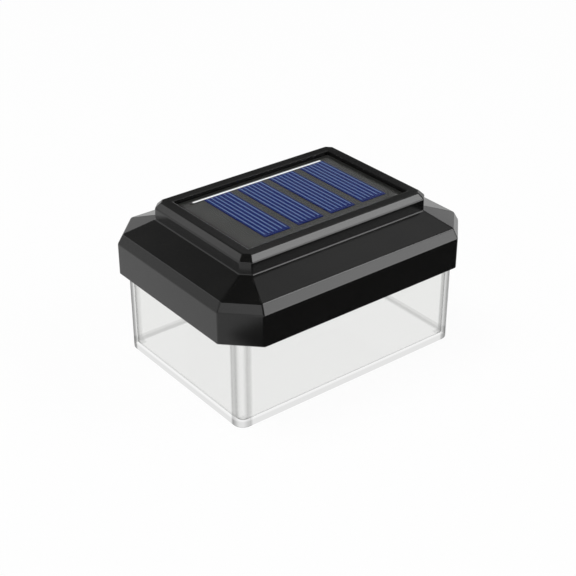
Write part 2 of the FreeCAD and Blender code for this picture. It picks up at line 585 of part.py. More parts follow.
# ---------------------------------------------------------------- base plate, seal and lens
def makeBasePlate():
    body = newBody("base_plate")
    inset = "(Dims.capWall + Dims.plateGap)"
    outline = newSketch(body, "plate_outline", "Dims.plateBottom")
    cutCornerRectangle(outline, "Dims.capLength - 2 * " + inset, "Dims.capWidth - 2 * " + inset,
                       "Dims.skirtCut - %s * (2 - sqrt(2))" % inset)
    pad(body, outline, "Dims.plateThick")

    # collar that the lens is pushed over, with the seal's groove
    reach = "(Dims.lensWall + Dims.collarGap)"
    collar = newSketch(body, "plate_collar", "Dims.plateBottom")
    roundedRectangle(collar, "Dims.lensLength - 2 * " + reach, "Dims.lensWidth - 2 * " + reach,
                     "Dims.lensCorner - " + reach, "outer")
    bore = "(Dims.lensWall + Dims.collarGap + Dims.collarThick)"
    rectangle(collar, "Dims.lensLength - 2 * " + bore, "Dims.lensWidth - 2 * " + bore, "inner")
    pad(body, collar, "Dims.collarHeight", downwards=True)
    groove = newSketch(body, "plate_groove", grooveBottom)
    rectangle(groove, "Dims.lensLength - Dims.lensWall", "Dims.lensWidth - Dims.lensWall", "outer")
    root = "(Dims.lensWall + Dims.collarGap + Dims.grooveDepth)"
    rectangle(groove, "Dims.lensLength - 2 * " + root, "Dims.lensWidth - 2 * " + root, "inner")
    pocket(body, groove, "Dims.grooveHeight", upwards=True)

    # walls round the battery bay, and its opening
    bayMiddle = "(Dims.bayStart + Dims.bayEnd) / 2"
    bayLength = "Dims.bayEnd - Dims.bayStart"
    walls = newSketch(body, "plate_bay_walls", plateTop, bayMiddle, "Dims.bayY")
    rectangle(walls, bayLength + " + 2 * Dims.bayWall", "Dims.bayWidth + 2 * Dims.bayWall", "outer")
    rectangle(walls, bayLength, "Dims.bayWidth", "inner")
    pad(body, walls, "Dims.bayHeight")
    opening = newSketch(body, "plate_bay_opening", plateTop, bayMiddle, "Dims.bayY")
    rectangle(opening, bayLength, "Dims.bayWidth")
    throughPlate = "Dims.plateThick + Dims.overcut"
    pocket(body, opening, throughPlate)

    # posts for the circuit board
    posts = newSketch(body, "plate_posts", plateTop, "Dims.pcbX", "Dims.pcbScrewY")
    circlesInRow(posts, "Dims.pcbScrewSpan", "Dims.pcbPost")
    pad(body, posts, "Dims.pcbBottom - (%s)" % plateTop)
    postBores = newSketch(body, "plate_post_bores", "Dims.pcbBottom", "Dims.pcbX", "Dims.pcbScrewY")
    circlesInRow(postBores, "Dims.pcbScrewSpan", "Dims.pcbScrewBore")
    pocket(body, postBores, "Dims.pcbScrewLength - Dims.pcbThick + Dims.pcbScrewSpare")

    # ears that carry the hinge pin: two outer ones and one between the door's knuckles
    outerStart = "(Dims.knuckleSpan / 2 + Dims.knuckleLength / 2 + Dims.knuckleGap)"
    outerLength = "(Dims.pinLength / 2 - %s)" % outerStart
    for side, sign in (("left", "-1"), ("right", "1")):
        ear = newSketch(body, "plate_ear_" + side, "Dims.plateBottom",
                        "%s * (%s + %s / 2)" % (sign, outerStart, outerLength), "Dims.hingeY")
        rectangle(ear, outerLength, "2 * Dims.hingeRadius")
        pad(body, ear, "Dims.hingeDrop + Dims.hingeRadius", downwards=True)
    middle = newSketch(body, "plate_ear_middle", "Dims.plateBottom", "0", "Dims.hingeY")
    rectangle(middle, "Dims.knuckleSpan - Dims.knuckleLength - 2 * Dims.knuckleGap", "2 * Dims.hingeRadius")
    pad(body, middle, "Dims.hingeDrop + Dims.hingeRadius", downwards=True)
    pinHole = newSketch(body, "plate_pin_hole", "-Dims.pinLength / 2", "Dims.hingeY", hingeZ, role="YZ_Plane")
    oneCircle(pinHole, "Dims.pinDiameter")
    pocket(body, pinHole, "Dims.pinLength", upwards=True)

    # holes: base screws, lamps with their funnels, switch slot, and the notch for the bracket's tongue
    screwHoles = newSketch(body, "plate_screw_holes", plateTop)
    circlesAtCorners(screwHoles, "Dims.bossSpanX", "Dims.bossSpanY", "Dims.screwShank + Dims.screwHoleGap")
    pocket(body, screwHoles, throughPlate)
    lampHoles = newSketch(body, "plate_lamp_holes", plateTop, "0", "Dims.ledY")
    circlesInRow(lampHoles, "Dims.ledSpan", "Dims.ledHole")
    pocket(body, lampHoles, throughPlate)
    wells = newSketch(body, "plate_lamp_wells", "Dims.plateBottom", "0", "Dims.ledY")
    circlesInRow(wells, "Dims.ledSpan", "Dims.ledWell")
    countersink(body, wells, "Dims.ledWellDepth", upwards=True)
    slot = newSketch(body, "plate_switch_slot", plateTop, "Dims.switchX", "Dims.switchY")
    rectangle(slot, "Dims.sliderLength + Dims.switchTravel + 2 * Dims.sliderGap",
              "Dims.sliderWidth + 2 * Dims.sliderGap")
    pocket(body, slot, throughPlate)
    notch = newSketch(body, "plate_notch", plateTop, "0",
                      "Dims.capWidth / 2 - %s - Dims.notchDepth / 2 + Dims.overcut" % inset)
    rectangle(notch, "Dims.notchLength", "Dims.notchDepth + 2 * Dims.overcut")
    pocket(body, notch, throughPlate)
    return body


def makeLensSeal():
    body = newBody("lens_seal")
    ring = newSketch(body, "seal_ring", "(%s) + (Dims.grooveHeight - Dims.sealHeight) / 2" % grooveBottom)
    outer = "(Dims.lensWall + Dims.sealGap)"
    roundedRectangle(ring, "Dims.lensLength - 2 * " + outer, "Dims.lensWidth - 2 * " + outer,
                     "Dims.lensCorner - " + outer, "outer")
    inner = "(Dims.lensWall + Dims.collarGap + Dims.grooveDepth - Dims.sealRoot)"
    rectangle(ring, "Dims.lensLength - 2 * " + inner, "Dims.lensWidth - 2 * " + inner, "inner")
    pad(body, ring, "Dims.sealHeight")
    return body


def liesAt(edge, z):
    """Whether the edge lies flat at height z."""
    return abs(edge.BoundBox.ZMin - z) < 0.01 and abs(edge.BoundBox.ZMax - z) < 0.01


def makeLensBox():
    body = newBody("lens_box")
    height = "(Dims.plateBottom - Dims.lensTopGap)"
    outside = newSketch(body, "lens_outside")
    roundedRectangle(outside, "Dims.lensLength", "Dims.lensWidth", "Dims.lensCorner")
    pad(body, outside, height)
    inside = newSketch(body, "lens_inside", height)
    roundedRectangle(inside, "Dims.lensLength - 2 * Dims.lensWall", "Dims.lensWidth - 2 * Dims.lensWall",
                     "Dims.lensCorner - Dims.lensWall")
    pocket(body, inside, height + " - Dims.lensWall")
    filletEdges(body, "lens_foot", "Dims.lensFoot", lambda edge: liesAt(edge, 0.0))
    filletEdges(body, "lens_inner_foot", "Dims.lensInnerFoot", lambda edge: liesAt(edge, D["lensWall"]))
    return body


# ---------------------------------------------------------------- battery, contacts and door
def makeBattery():
    can = rod("battery_can", "Dims.batteryDiameter", "Dims.batteryLength", "-Dims.batteryLength / 2",
              "Dims.bayY", "Dims.batteryZ")
    tip = rod("battery_tip", "Dims.tipDiameter", "Dims.tipLength", "Dims.batteryLength / 2", "Dims.bayY",
              "Dims.batteryZ")
    return fused("battery", [can, tip])


def makeContacts():
    plate = block("contact_plate", "Dims.contactThick", "Dims.contactSide", "Dims.contactSide",
                  "Dims.bayEnd - Dims.contactThick / 2", "Dims.bayY", "Dims.batteryZ - Dims.contactSide / 2")
    bump = rod("contact_bump", "Dims.bumpDiameter", "Dims.contactBump",
               "Dims.bayEnd - Dims.contactThick - Dims.contactBump", "Dims.bayY", "Dims.batteryZ")
    positive = fused("battery_contact_positive", [plate, bump])

    # the spring contact: a plate with a leaf that bows out towards the cell
    body = newBody("battery_contact_negative")
    profile = newSketch(body, "contact_leaf", "-(Dims.bayY + Dims.contactSide / 2)", "Dims.bayStart",
                        "Dims.batteryZ - Dims.contactSide / 2", role="XZ_Plane")
    side = "Dims.contactSide"
    thick = "Dims.contactThick"
    middle = "Dims.contactSide / 2"
    corners = [("0", "0"), (thick, "0"), (thick, side + " - " + thick), ("Dims.leafReach", middle),
               ("Dims.leafStart", "Dims.leafFoot"), ("Dims.leafStart + Dims.leafLip", "Dims.leafFoot"),
               ("Dims.leafReach + " + thick, middle), (thick, side), ("0", side)]
    # a rough outline of the same kind, which the named sizes then pull into shape
    rough = [(0, 0), (1, 0), (1, 8), (4, 5), (2, 2), (2.5, 2), (5, 5), (1, 9), (0, 9)]
    lines = closedLines(profile, rough)
    for i, (x, y) in enumerate(corners):
        for kind, name, size, start in (("DistanceX", "x%d" % i, x, rough[i][0]),
                                        ("DistanceY", "y%d" % i, y, rough[i][1])):
            nameSize(profile, Sketcher.Constraint(kind, -1, 1, lines[i], 1, start), name, size)
    pad(body, profile, "Dims.contactSide")
    return [positive, body]


def makeBatteryDoor():
    body = newBody("battery_door")
    bayMiddle = "(Dims.bayStart + Dims.bayEnd) / 2"
    front = "(Dims.bayY - Dims.bayWidth / 2 - Dims.doorMargin)"
    leaf = newSketch(body, "door_leaf", doorTop, bayMiddle, "(%s + Dims.hingeY) / 2" % front)
    rectangle(leaf, "Dims.bayEnd - Dims.bayStart + 2 * Dims.doorMargin", "Dims.hingeY - %s" % front)
    pad(body, leaf, "Dims.doorThick", downwards=True)
    # room for the base plate's ears along the hinge; the outer gaps run past the door's ends
    gapStart = "(Dims.knuckleSpan + Dims.knuckleLength) / 2"
    gapLength = "(Dims.bayEnd - Dims.bayStart) / 2"
    for name, x, length in (("middle", "0", "Dims.knuckleSpan - Dims.knuckleLength"),
                            ("left", "-(%s + %s / 2)" % (gapStart, gapLength), gapLength),
                            ("right", "%s + %s / 2" % (gapStart, gapLength), gapLength)):
        gap = newSketch(body, "door_gap_" + name, doorTop, x, "Dims.hingeY")
        rectangle(gap, length, "2 * (Dims.hingeRadius + Dims.doorEarGap)")
        pocket(body, gap, "Dims.doorThick + Dims.overcut")
    for side, sign in (("left", "-1"), ("right", "1")):
        start = "%s * Dims.knuckleSpan / 2 - Dims.knuckleLength / 2" % sign
        knuckle = newSketch(body, "door_knuckle_" + side, start, "Dims.hingeY", hingeZ, role="YZ_Plane")
        oneCircle(knuckle, "2 * Dims.hingeRadius")
        pad(body, knuckle, "Dims.knuckleLength")
    bore = newSketch(body, "door_pin_bore", "-Dims.pinLength / 2", "Dims.hingeY", hingeZ, role="YZ_Plane")
    oneCircle(bore, "Dims.pinBore")
    pocket(body, bore, "Dims.pinLength", upwards=True)
    tongue = newSketch(body, "door_tongue", doorTop, "0",
                       "Dims.bayY - Dims.bayWidth / 2 + Dims.latchGap + Dims.latchThick / 2")
    rectangle(tongue, "Dims.latchWidth", "Dims.latchThick")
    pad(body, tongue, "Dims.latchHeight")
    # ribs for the finger that opens it, near the free edge
    for i in range(D["gripCount"]):
        rib = newSketch(body, "door_grip_%d" % (i + 1), doorTop + " - Dims.doorThick", "0",
                        "%s + (%d + 1) * Dims.gripPitch" % (front, i))
        rectangle(rib, "Dims.gripSpan", "Dims.gripWidth")
        pad(body, rib, "Dims.gripHeight", downwards=True)
    return body


def makeHingePin():
    return rod("door_hinge_pin", "Dims.pinDiameter", "Dims.pinLength", "-Dims.pinLength / 2", "Dims.hingeY",
               hingeZ)


# ---------------------------------------------------------------- circuit board and what it carries
def makeCircuit():
    board = block("pcb_blank", "Dims.pcbLength", "Dims.pcbWidth", "Dims.pcbThick", "Dims.pcbX", "Dims.pcbY",
                  "Dims.pcbBottom")
    holes = [cylinder("pcb_hole_" + side, "Dims.pcbScrewBore", "Dims.pcbThick",
                      "Dims.pcbX + (%s) * Dims.pcbScrewSpan / 2" % sign, "Dims.pcbScrewY", "Dims.pcbBottom")
             for side, sign in (("left", "-1"), ("right", "1"))]
    pcb = cutFrom("circuit_board", board, fused("pcb_holes", holes))
    chip = block("driver_chip", "Dims.chipLength", "Dims.chipWidth", "Dims.chipThick", "Dims.chipX",
                 "Dims.pcbY", pcbTop)
    coil = cylinder("inductor", "Dims.coilDiameter", "Dims.coilHeight", "Dims.coilX", "Dims.pcbY", pcbTop)
    can = cylinder("capacitor", "Dims.canDiameter", "Dims.canHeight", "Dims.canX", "Dims.canY", pcbTop)
    return [pcb, chip, coil, can]


def makeLed(name, sign):
    """A lamp that hangs from the board: flange, barrel and round tip, from the top down."""
    x = "%s * Dims.ledSpan / 2" % sign
    tipCentre = "(Dims.pcbBottom - Dims.ledLength + Dims.ledDiameter / 2)"
    flange = cylinder(name + "_flange", "Dims.ledFlange", "Dims.ledFlangeThick", x, "Dims.ledY",
                      "Dims.pcbBottom - Dims.ledFlangeThick")
    barrel = cylinder(name + "_barrel", "Dims.ledDiameter", "Dims.pcbBottom - " + tipCentre, x, "Dims.ledY",
                      tipCentre)
    tip = doc.addObject("Part::Sphere", name + "_tip")
    tip.setExpression("Radius", "Dims.ledDiameter / 2")
    place(tip, x, "Dims.ledY", tipCentre)
    return fused(name, [flange, barrel, tip])


def makeSwitch():
    housing = block("switch_housing", "Dims.switchLength", "Dims.switchWidth", "Dims.switchHeight",
                    "Dims.switchX", "Dims.switchY", "Dims.pcbBottom - Dims.switchHeight")
    track = block("switch_track", "Dims.sliderLength + Dims.switchTravel + 2 * Dims.sliderGap",
                  "Dims.sliderWidth + 2 * Dims.sliderGap", "Dims.switchHeight / 2 + Dims.sliderGap",
                  "Dims.switchX", "Dims.switchY", "Dims.pcbBottom - Dims.switchHeight")
    body = cutFrom("switch_body", housing, track)
    slider = block("switch_slider", "Dims.sliderLength", "Dims.sliderWidth", "Dims.sliderHeight",
                   "Dims.switchX - Dims.switchTravel / 2", "Dims.switchY", "Dims.plateBottom - Dims.sliderLow")
    return [body, slider]


# ---------------------------------------------------------------- screws
def makeScrew(name, x, y, seat, shank, head, headHeight, length, upwards):
    """A pan head screw. Its head lies on seat, outside, and its shank runs upwards or down."""
    shankStart = seat if upwards else "(%s) - (%s)" % (seat, length)
    headStart = "(%s) - (%s)" % (seat, headHeight) if upwards else seat
    driveStart = headStart if upwards else "(%s) + (%s) - Dims.recessDepth" % (seat, headHeight)
    solid = fused(name + "_blank", [cylinder(name + "_shank", shank, length, x, y, shankStart),
                                    cylinder(name + "_head", head, headHeight, x, y, headStart)])
    drive = fused(name + "_drive", [
        block(name + "_drive_x", "Dims.recessAcross", "Dims.recessWidth", "Dims.recessDepth", x, y,
              driveStart),
        block(name + "_drive_y", "Dims.recessWidth", "Dims.recessAcross", "Dims.recessDepth", x, y,
              driveStart)])
    return cutFrom(name, solid, drive)


def makeScrewGroup(name, screws):
    """Separate screws in one node."""
    group = doc.addObject("Part::Compound", name)
    group.Label = name
    group.Links = screws
    return group


def makeBaseScrews():
    screws = []
    for i, (signX, signY) in enumerate([("-1", "-1"), ("1", "-1"), ("1", "1"), ("-1", "1")]):
        screws.append(makeScrew("base_screw_%d" % (i + 1), signX + " * Dims.bossSpanX / 2",
                                signY + " * Dims.bossSpanY / 2", "Dims.plateBottom", "Dims.screwShank",
                                "Dims.screwHead", "Dims.screwHeadHeight", "Dims.screwLength", True))
    return makeScrewGroup("base_screws", screws)


def makeBoardScrews():
    screws = []
    for i, sign in enumerate(["-1", "1"]):
        screws.append(makeScrew("board_screw_%d" % (i + 1), "Dims.pcbX + (%s) * Dims.pcbScrewSpan / 2" % sign,
                                "Dims.pcbScrewY", pcbTop, "Dims.pcbScrewShank", "Dims.pcbScrewHead",
                                "Dims.pcbScrewHeadHeight", "Dims.pcbScrewLength", False))
    return makeScrewGroup("board_screws", screws)


# ---------------------------------------------------------------- wall bracket
def makeWallBracket():
    body = newBody("wall_bracket")
    plate = newSketch(body, "bracket_plate", bracketTop, "0", skirtBackY + " - Dims.bracketThick / 2")
    rectangle(plate, "Dims.bracketLength", "Dims.bracketThick")
    pad(body, plate, "Dims.bracketHeight", downwards=True)
    # the tongue overlaps the plate below and rises inside the skirt
    tongueY = "%s - Dims.capWall - Dims.tongueGap - Dims.tongueThick / 2" % skirtBackY
    tongue = newSketch(body, "bracket_tongue", "Dims.skirtBottom - Dims.tongueLap", "0", tongueY)
    rectangle(tongue, "Dims.tongueLength", "Dims.tongueThick")
    pad(body, tongue, "Dims.tongueLap + Dims.tongueRise")
    plateBottom = D["skirtBottom"] - D["bracketGap"] - D["bracketHeight"]
    tongueTop = D["skirtBottom"] + D["tongueRise"]
    filletEdges(body, "bracket_corners", "Dims.bracketCorner",
                lambda edge: liesAt(edge, plateBottom) and edge.BoundBox.XLength < 0.01)
    chamferEdges(body, "bracket_lead_in", "Dims.tongueBevel", lambda edge: liesAt(edge, tongueTop))
    holes = newSketch(body, "bracket_holes", "-(%s)" % skirtBackY, "0", "Dims.fixingZ", role="XZ_Plane")
    circlesInRow(holes, "Dims.fixingSpan", "Dims.fixingBore")
    pocket(body, holes, "Dims.bracketThick + Dims.overcut", upwards=True)
    sinks = newSketch(body, "bracket_sinks", "-(%s - Dims.bracketThick)" % skirtBackY, "0", "Dims.fixingZ",
                      role="XZ_Plane")
    circlesInRow(sinks, "Dims.fixingSpan", "Dims.fixingHead")
    countersink(body, sinks, "(Dims.fixingHead - Dims.fixingBore) / 2")
    return body


# ---------------------------------------------------------------- leads
def roundedPath(points):
    """Straight runs joined by tangent arcs, each as large as its two runs allow."""
    bendShare = 0.45  # of a run, on each side of a corner
    vectors = [FreeCAD.Vector(*point) for point in points]
    edges = []
    start = vectors[0]
    radii = []
    for before, corner, after in zip(vectors, vectors[1:], vectors[2:]):
        incoming = (corner - before).normalize()
        outgoing = (after - corner).normalize()
        angle = incoming.getAngle(outgoing)
        setback = bendShare * min((corner - before).Length, (after - corner).Length)
        radii.append(setback / math.tan(angle / 2))
        first = corner - incoming * setback
        last = corner + outgoing * setback
        inward = (outgoing - incoming).normalize()
        middle = corner + inward * (radii[-1] / math.cos(angle / 2) - radii[-1])
        edges.append(Part.LineSegment(start, first).toShape())
        edges.append(Part.Arc(first, middle, last).toShape())
        start = last
    edges.append(Part.LineSegment(start, vectors[-1]).toShape())
    return Part.Wire(edges), min(radii)


def makeLead(name, points):
    wire, tightest = roundedPath(points)
    radius = D["leadDiameter"] / 2
    direction = FreeCAD.Vector(*points[1]) - FreeCAD.Vector(*points[0])
    ring = Part.Wire([Part.Circle(FreeCAD.Vector(*points[0]), direction, radius).toShape()])
    tube = wire.makePipeShell([ring], True, False)
    expected = math.pi * radius ** 2 * wire.Length
    print("%s: length %.1f, tightest radius %.1f, volume %.2f of %.2f"
          % (name, wire.Length, tightest, tube.Volume, expected))
    item = doc.addObject("Part::Feature", name)
    item.Label = name
    item.Shape = tube
    item.Placement = FreeCAD.Placement()
    return item


def makeLeads():
    boardUnder = (D["skirtBottom"] + D["skirtHeight"] + D["bandHeight"] + D["roofHeight"] + D["stepHeight"]
                  + D["bevelHeight"] - D["panelDrop"] - D["coverThick"] - D["boardThick"])
    boardFace = D["pcbBottom"] + D["pcbThick"]
    springSide = D["bayStart"] - D["leadDiameter"] / 2
    tipSide = D["bayEnd"] + D["leadDiameter"] / 2
    return [
        makeLead("panel_lead_red", [(-30, -2, boardUnder), (-30, -2, 58), (-26, -5.5, 55.4), (-20, -10.5, 57),
                                    (-14.5, -14, 56.6), (-14.5, -14, boardFace)]),
        makeLead("panel_lead_black", [(-30, -6, boardUnder), (-30, -6, 58), (-27, -10, 55.4),
                                      (-21.5, -15.5, 57), (-16, -19.5, 56.6), (-16, -19.5, boardFace)]),
        makeLead("battery_lead_black", [(springSide, 14, 56.4), (springSide, 6.5, 56.4), (-33.5, -2, 52),
                                        (-32, -11, 51.5), (-27, -18, 55.8), (-18.5, -22, 56.2),
                                        (-18.5, -22, boardFace)]),
        makeLead("battery_lead_red", [(tipSide, 14, 56.4), (tipSide, 6.5, 56.4), (29, -0.5, 54),
                                      (28.5, -7.5, 56.5), (27.5, -13, 56.6), (27.5, -13, boardFace)]),
    ]


# ---------------------------------------------------------------- assembly and files
subParts = [makeTopCap()] + makePanel()
subParts += [makeBasePlate(), makeLensSeal(), makeLensBox(), makeBattery()] + makeContacts()
subParts += [makeBatteryDoor(), makeHingePin()] + makeCircuit()
subParts += [makeLed("led_1", "-1"), makeLed("led_2", "1")] + makeSwitch()
subParts += [makeBaseScrews(), makeBoardScrews(), makeWallBracket()] + makeLeads()

doc.recompute()
for item in doc.Objects:
    if "Invalid" in item.State or "Error" in item.State:
        raise ValueError("%s failed: %s" % (item.Name, item.State))
for part in subParts:
    if part.Shape.isNull() or not part.Shape.isValid():
        raise ValueError("%s has no valid shape" % part.Label)

os.makedirs("parts", exist_ok=True)
for part in subParts:
    part.Shape.exportStep("parts/%s.step" % part.Label)
    box = part.Shape.BoundBox
    print("%-26s solids %d volume %9.1f  x %7.2f %7.2f  y %7.2f %7.2f  z %7.2f %7.2f"
          % (part.Label, len(part.Shape.Solids), part.Shape.Volume, box.XMin, box.XMax, box.YMin, box.YMax,
             box.ZMin, box.ZMax))
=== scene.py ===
import bpy
import bmesh
import math
import numpy as np
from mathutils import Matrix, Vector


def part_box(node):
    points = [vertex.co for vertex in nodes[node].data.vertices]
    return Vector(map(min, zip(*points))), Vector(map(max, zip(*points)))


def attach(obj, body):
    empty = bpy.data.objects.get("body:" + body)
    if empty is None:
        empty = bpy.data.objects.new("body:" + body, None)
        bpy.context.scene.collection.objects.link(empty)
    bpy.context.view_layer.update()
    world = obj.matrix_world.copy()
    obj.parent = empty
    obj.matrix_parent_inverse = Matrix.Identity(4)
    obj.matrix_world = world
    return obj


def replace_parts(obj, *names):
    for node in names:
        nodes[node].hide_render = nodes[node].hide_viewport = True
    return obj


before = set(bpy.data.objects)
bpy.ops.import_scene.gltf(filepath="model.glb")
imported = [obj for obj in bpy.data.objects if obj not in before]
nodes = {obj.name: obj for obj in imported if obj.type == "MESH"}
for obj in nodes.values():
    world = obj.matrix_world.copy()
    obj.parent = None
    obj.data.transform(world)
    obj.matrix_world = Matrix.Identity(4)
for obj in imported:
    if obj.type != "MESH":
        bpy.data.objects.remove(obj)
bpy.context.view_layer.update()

# Solar fence light. Blender works in metres; the shapes below are written in millimetres and scaled once.
# +X runs along the cap's long side, +Y points at the fence, +Z is up.

mm = 0.001
print("frame loaded:", len(nodes), "nodes")


# a socket is fed by another socket or by a plain value
def feed(tree, socket, value):
    if isinstance(value, bpy.types.NodeSocket):
        tree.links.new(value, socket)
    else:
        socket.default_value = value


def addNode(tree, kind, values={}, **settings):
    node = tree.nodes.new("ShaderNode" + kind)
    for key, value in settings.items():
        setattr(node, key, value)
    for key, value in values.items():
        feed(tree, node.inputs[key], value)
    return node


def maths(tree, operation, *values):
    node = addNode(tree, "Math", operation=operation)
    for socket, value in zip(node.inputs, values):
        feed(tree, socket, value)
    return node.outputs[0]


# moves a value from low..high to start..end and holds it there
def spread(tree, value, low, high, start=0.0, end=1.0):
    values = {"Value": value, "From Min": low, "From Max": high, "To Min": start, "To Max": end}
    return addNode(tree, "MapRange", values).outputs[0]


def mixColor(tree, amount, first, second):
    return addNode(tree, "Mix", {0: amount, 6: first, 7: second}, data_type="RGBA").outputs[2]


def mixShader(tree, amount, first, second):
    return addNode(tree, "MixShader", {0: amount, 1: first, 2: second}).outputs[0]


def bumpNormal(tree, height, strength, depth):
    values = {"Height": height, "Strength": strength, "Distance": depth}
    return addNode(tree, "Bump", values).outputs["Normal"]


def objectPlace(tree):
    return addNode(tree, "TexCoord").outputs["Object"]


def splitPlace(tree, place):
    return addNode(tree, "SeparateXYZ", {"Vector": place}).outputs


def noise(tree, place, scale, detail=2.0, roughness=0.5):
    values = {"Vector": place, "Scale": scale, "Detail": detail, "Roughness": roughness}
    return addNode(tree, "TexNoise", values).outputs["Fac"]


def newGroup(name, inputs, outputs):
    group = bpy.data.node_groups.new(name, "ShaderNodeTree")
    for label, kind, value in inputs:
        socket = group.interface.new_socket(label, in_out="INPUT", socket_type="NodeSocket" + kind)
        socket.default_value = value
    for label, kind in outputs:
        group.interface.new_socket(label, in_out="OUTPUT", socket_type="NodeSocket" + kind)
    return group, group.nodes.new("NodeGroupInput").outputs, group.nodes.new("NodeGroupOutput").inputs


def placeGroup(tree, group, values):
    node = tree.nodes.new("ShaderNodeGroup")
    node.node_tree = group
    for key, value in values.items():
        feed(tree, node.inputs[key], value)
    return node.outputs


def newMaterial(name):
    material = bpy.data.materials.new(name)
    material.use_nodes = True
    tree = material.node_tree
    tree.nodes.clear()
    return material, tree, tree.nodes.new("ShaderNodeOutputMaterial").inputs["Surface"]


# where an edge is sharp: the surface's direction against its direction rounded over Width, in patches;
# agree says where the edge mark (wear, and on the cap a painted highlight) starts and where it is full
edgeShape = {"samples": 4, "agree": (0.99, 0.86), "patchScale": 180.0, "patchSpan": (0.44, 0.6)}


def makeEdgeGroup():
    group, given, out = newGroup("edgeWearAndHighlight", [("Width", "Float", 0.0005), ("Patches", "Float", 0.6)],
                                 [("Mask", "Float")])
    rounded = addNode(group, "Bevel", {"Radius": given["Width"]}, samples=edgeShape["samples"]).outputs[0]
    normal = addNode(group, "NewGeometry").outputs["Normal"]
    agree = addNode(group, "VectorMath", {0: rounded, 1: normal}, operation="DOT_PRODUCT").outputs["Value"]
    edge = spread(group, agree, *edgeShape["agree"])
    cloud = noise(group, objectPlace(group), edgeShape["patchScale"], detail=4.0, roughness=0.65)
    patch = spread(group, cloud, *edgeShape["patchSpan"])
    bare = maths(group, "SUBTRACT", 1.0, given["Patches"])
    kept = maths(group, "MULTIPLY_ADD", patch, given["Patches"], bare)
    feed(group, out["Mask"], maths(group, "MULTIPLY", edge, kept))
    return group


# dust lies in patches on what looks up, with specks in it
dustShape = {"upward": (0.3, 1.0), "patchSpan": (0.4, 0.75), "speckScale": 3200.0, "speckSpan": (0.62, 0.72),
             "speckWeight": 2.0}


def makeDustGroup():
    group, given, out = newGroup("settledDust", [("Amount", "Float", 0.02), ("Patch Size", "Float", 70.0)],
                                 [("Mask", "Float")])
    upward = splitPlace(group, addNode(group, "NewGeometry").outputs["Normal"])["Z"]
    facing = spread(group, upward, *dustShape["upward"])
    cloud = noise(group, objectPlace(group), given["Patch Size"], detail=5.0, roughness=0.6)
    patch = spread(group, cloud, *dustShape["patchSpan"])
    grit = noise(group, objectPlace(group), dustShape["speckScale"], detail=1.0)
    specks = spread(group, grit, *dustShape["speckSpan"])
    cover = maths(group, "MULTIPLY_ADD", specks, dustShape["speckWeight"], patch)
    lying = maths(group, "MULTIPLY", facing, cover)
    feed(group, out["Mask"], maths(group, "MULTIPLY", lying, given["Amount"]))
    return group


# moulded plastic: grain as bump, slow changes of gloss, edge wear and dust mixed into the colour; on the cap
# the edge colour is a painted highlight
mouldedShape = {"grainDepth": 0.02 * mm, "cloudScale": 48.0, "cloudSpan": (0.3, 0.7), "wearRough": 0.15,
                "dustRough": 2.0, "dustColor": (0.42, 0.4, 0.36, 1)}


def makeMouldedGroup():
    group, given, out = newGroup("mouldedSurface", [
        ("Color", "Color", (0.02, 0.02, 0.02, 1)), ("Roughness", "Float", 0.3), ("Grain", "Float", 0.05),
        ("Grain Size", "Float", 2600.0), ("Mottle", "Float", 0.1), ("Wear And Highlight", "Float", 0.0),
        ("Wear And Highlight Color", "Color", (0.1, 0.1, 0.1, 1)), ("Dust", "Float", 0.0)],
        [("Color", "Color"), ("Roughness", "Float"), ("Normal", "Vector")])
    place = objectPlace(group)
    grain = noise(group, place, given["Grain Size"], roughness=0.6)
    feed(group, out["Normal"], bumpNormal(group, grain, given["Grain"], mouldedShape["grainDepth"]))
    cloud = noise(group, place, mouldedShape["cloudScale"], detail=4.0, roughness=0.6)
    swing = spread(group, cloud, *mouldedShape["cloudSpan"], start=-1.0)
    gloss = maths(group, "MULTIPLY_ADD", swing, given["Mottle"], 1.0)
    rough = maths(group, "MULTIPLY", given["Roughness"], gloss)
    wornAndHighlit = maths(group, "MULTIPLY_ADD", given["Wear And Highlight"], mouldedShape["wearRough"], rough)
    dusty = maths(group, "MULTIPLY_ADD", given["Dust"], mouldedShape["dustRough"], wornAndHighlit)
    feed(group, out["Roughness"], dusty)
    # edges take the wear colour: real wear on most plastics, and on the cap a painted highlight line
    edged = mixColor(group, given["Wear And Highlight"], given["Color"], given["Wear And Highlight Color"])
    feed(group, out["Color"], mixColor(group, given["Dust"], edged, mouldedShape["dustColor"]))
    return group


# metal: grain drawn out along one direction, tarnish in clouds
metalShape = {"grainDepth": 0.01 * mm, "cloudScale": 420.0, "cloudSpan": (0.4, 0.75), "streakRough": 0.12,
              "tarnishRough": 0.3}


def makeMetalGroup():
    group, given, out = newGroup("metalSurface", [
        ("Color", "Color", (0.6, 0.6, 0.6, 1)), ("Roughness", "Float", 0.3),
        ("Grain", "Vector", (800, 800, 800)), ("Depth", "Float", 0.1), ("Tarnish", "Float", 0.2),
        ("Tarnish Color", "Color", (0.3, 0.28, 0.24, 1))],
        [("Color", "Color"), ("Roughness", "Float"), ("Normal", "Vector")])
    place = objectPlace(group)
    drawn = addNode(group, "VectorMath", {0: place, 1: given["Grain"]}, operation="MULTIPLY").outputs[0]
    lines = noise(group, drawn, 1.0, detail=3.0, roughness=0.6)
    feed(group, out["Normal"], bumpNormal(group, lines, given["Depth"], metalShape["grainDepth"]))
    cloud = noise(group, place, metalShape["cloudScale"], detail=4.0, roughness=0.65)
    tarnish = maths(group, "MULTIPLY", spread(group, cloud, *metalShape["cloudSpan"]), given["Tarnish"])
    streak = maths(group, "MULTIPLY_ADD", lines, metalShape["streakRough"], given["Roughness"])
    feed(group, out["Roughness"], maths(group, "MULTIPLY_ADD", tarnish, metalShape["tarnishRough"], streak))
    feed(group, out["Color"], mixColor(group, tarnish, given["Color"], given["Tarnish Color"]))
    return group


# clear plastic: smears that dull the gloss a little, and the faint ripple of a moulded wall
clearShape = {"smearScale": 60.0, "smearSpan": (0.52, 0.8), "rippleDepth": 0.2 * mm}


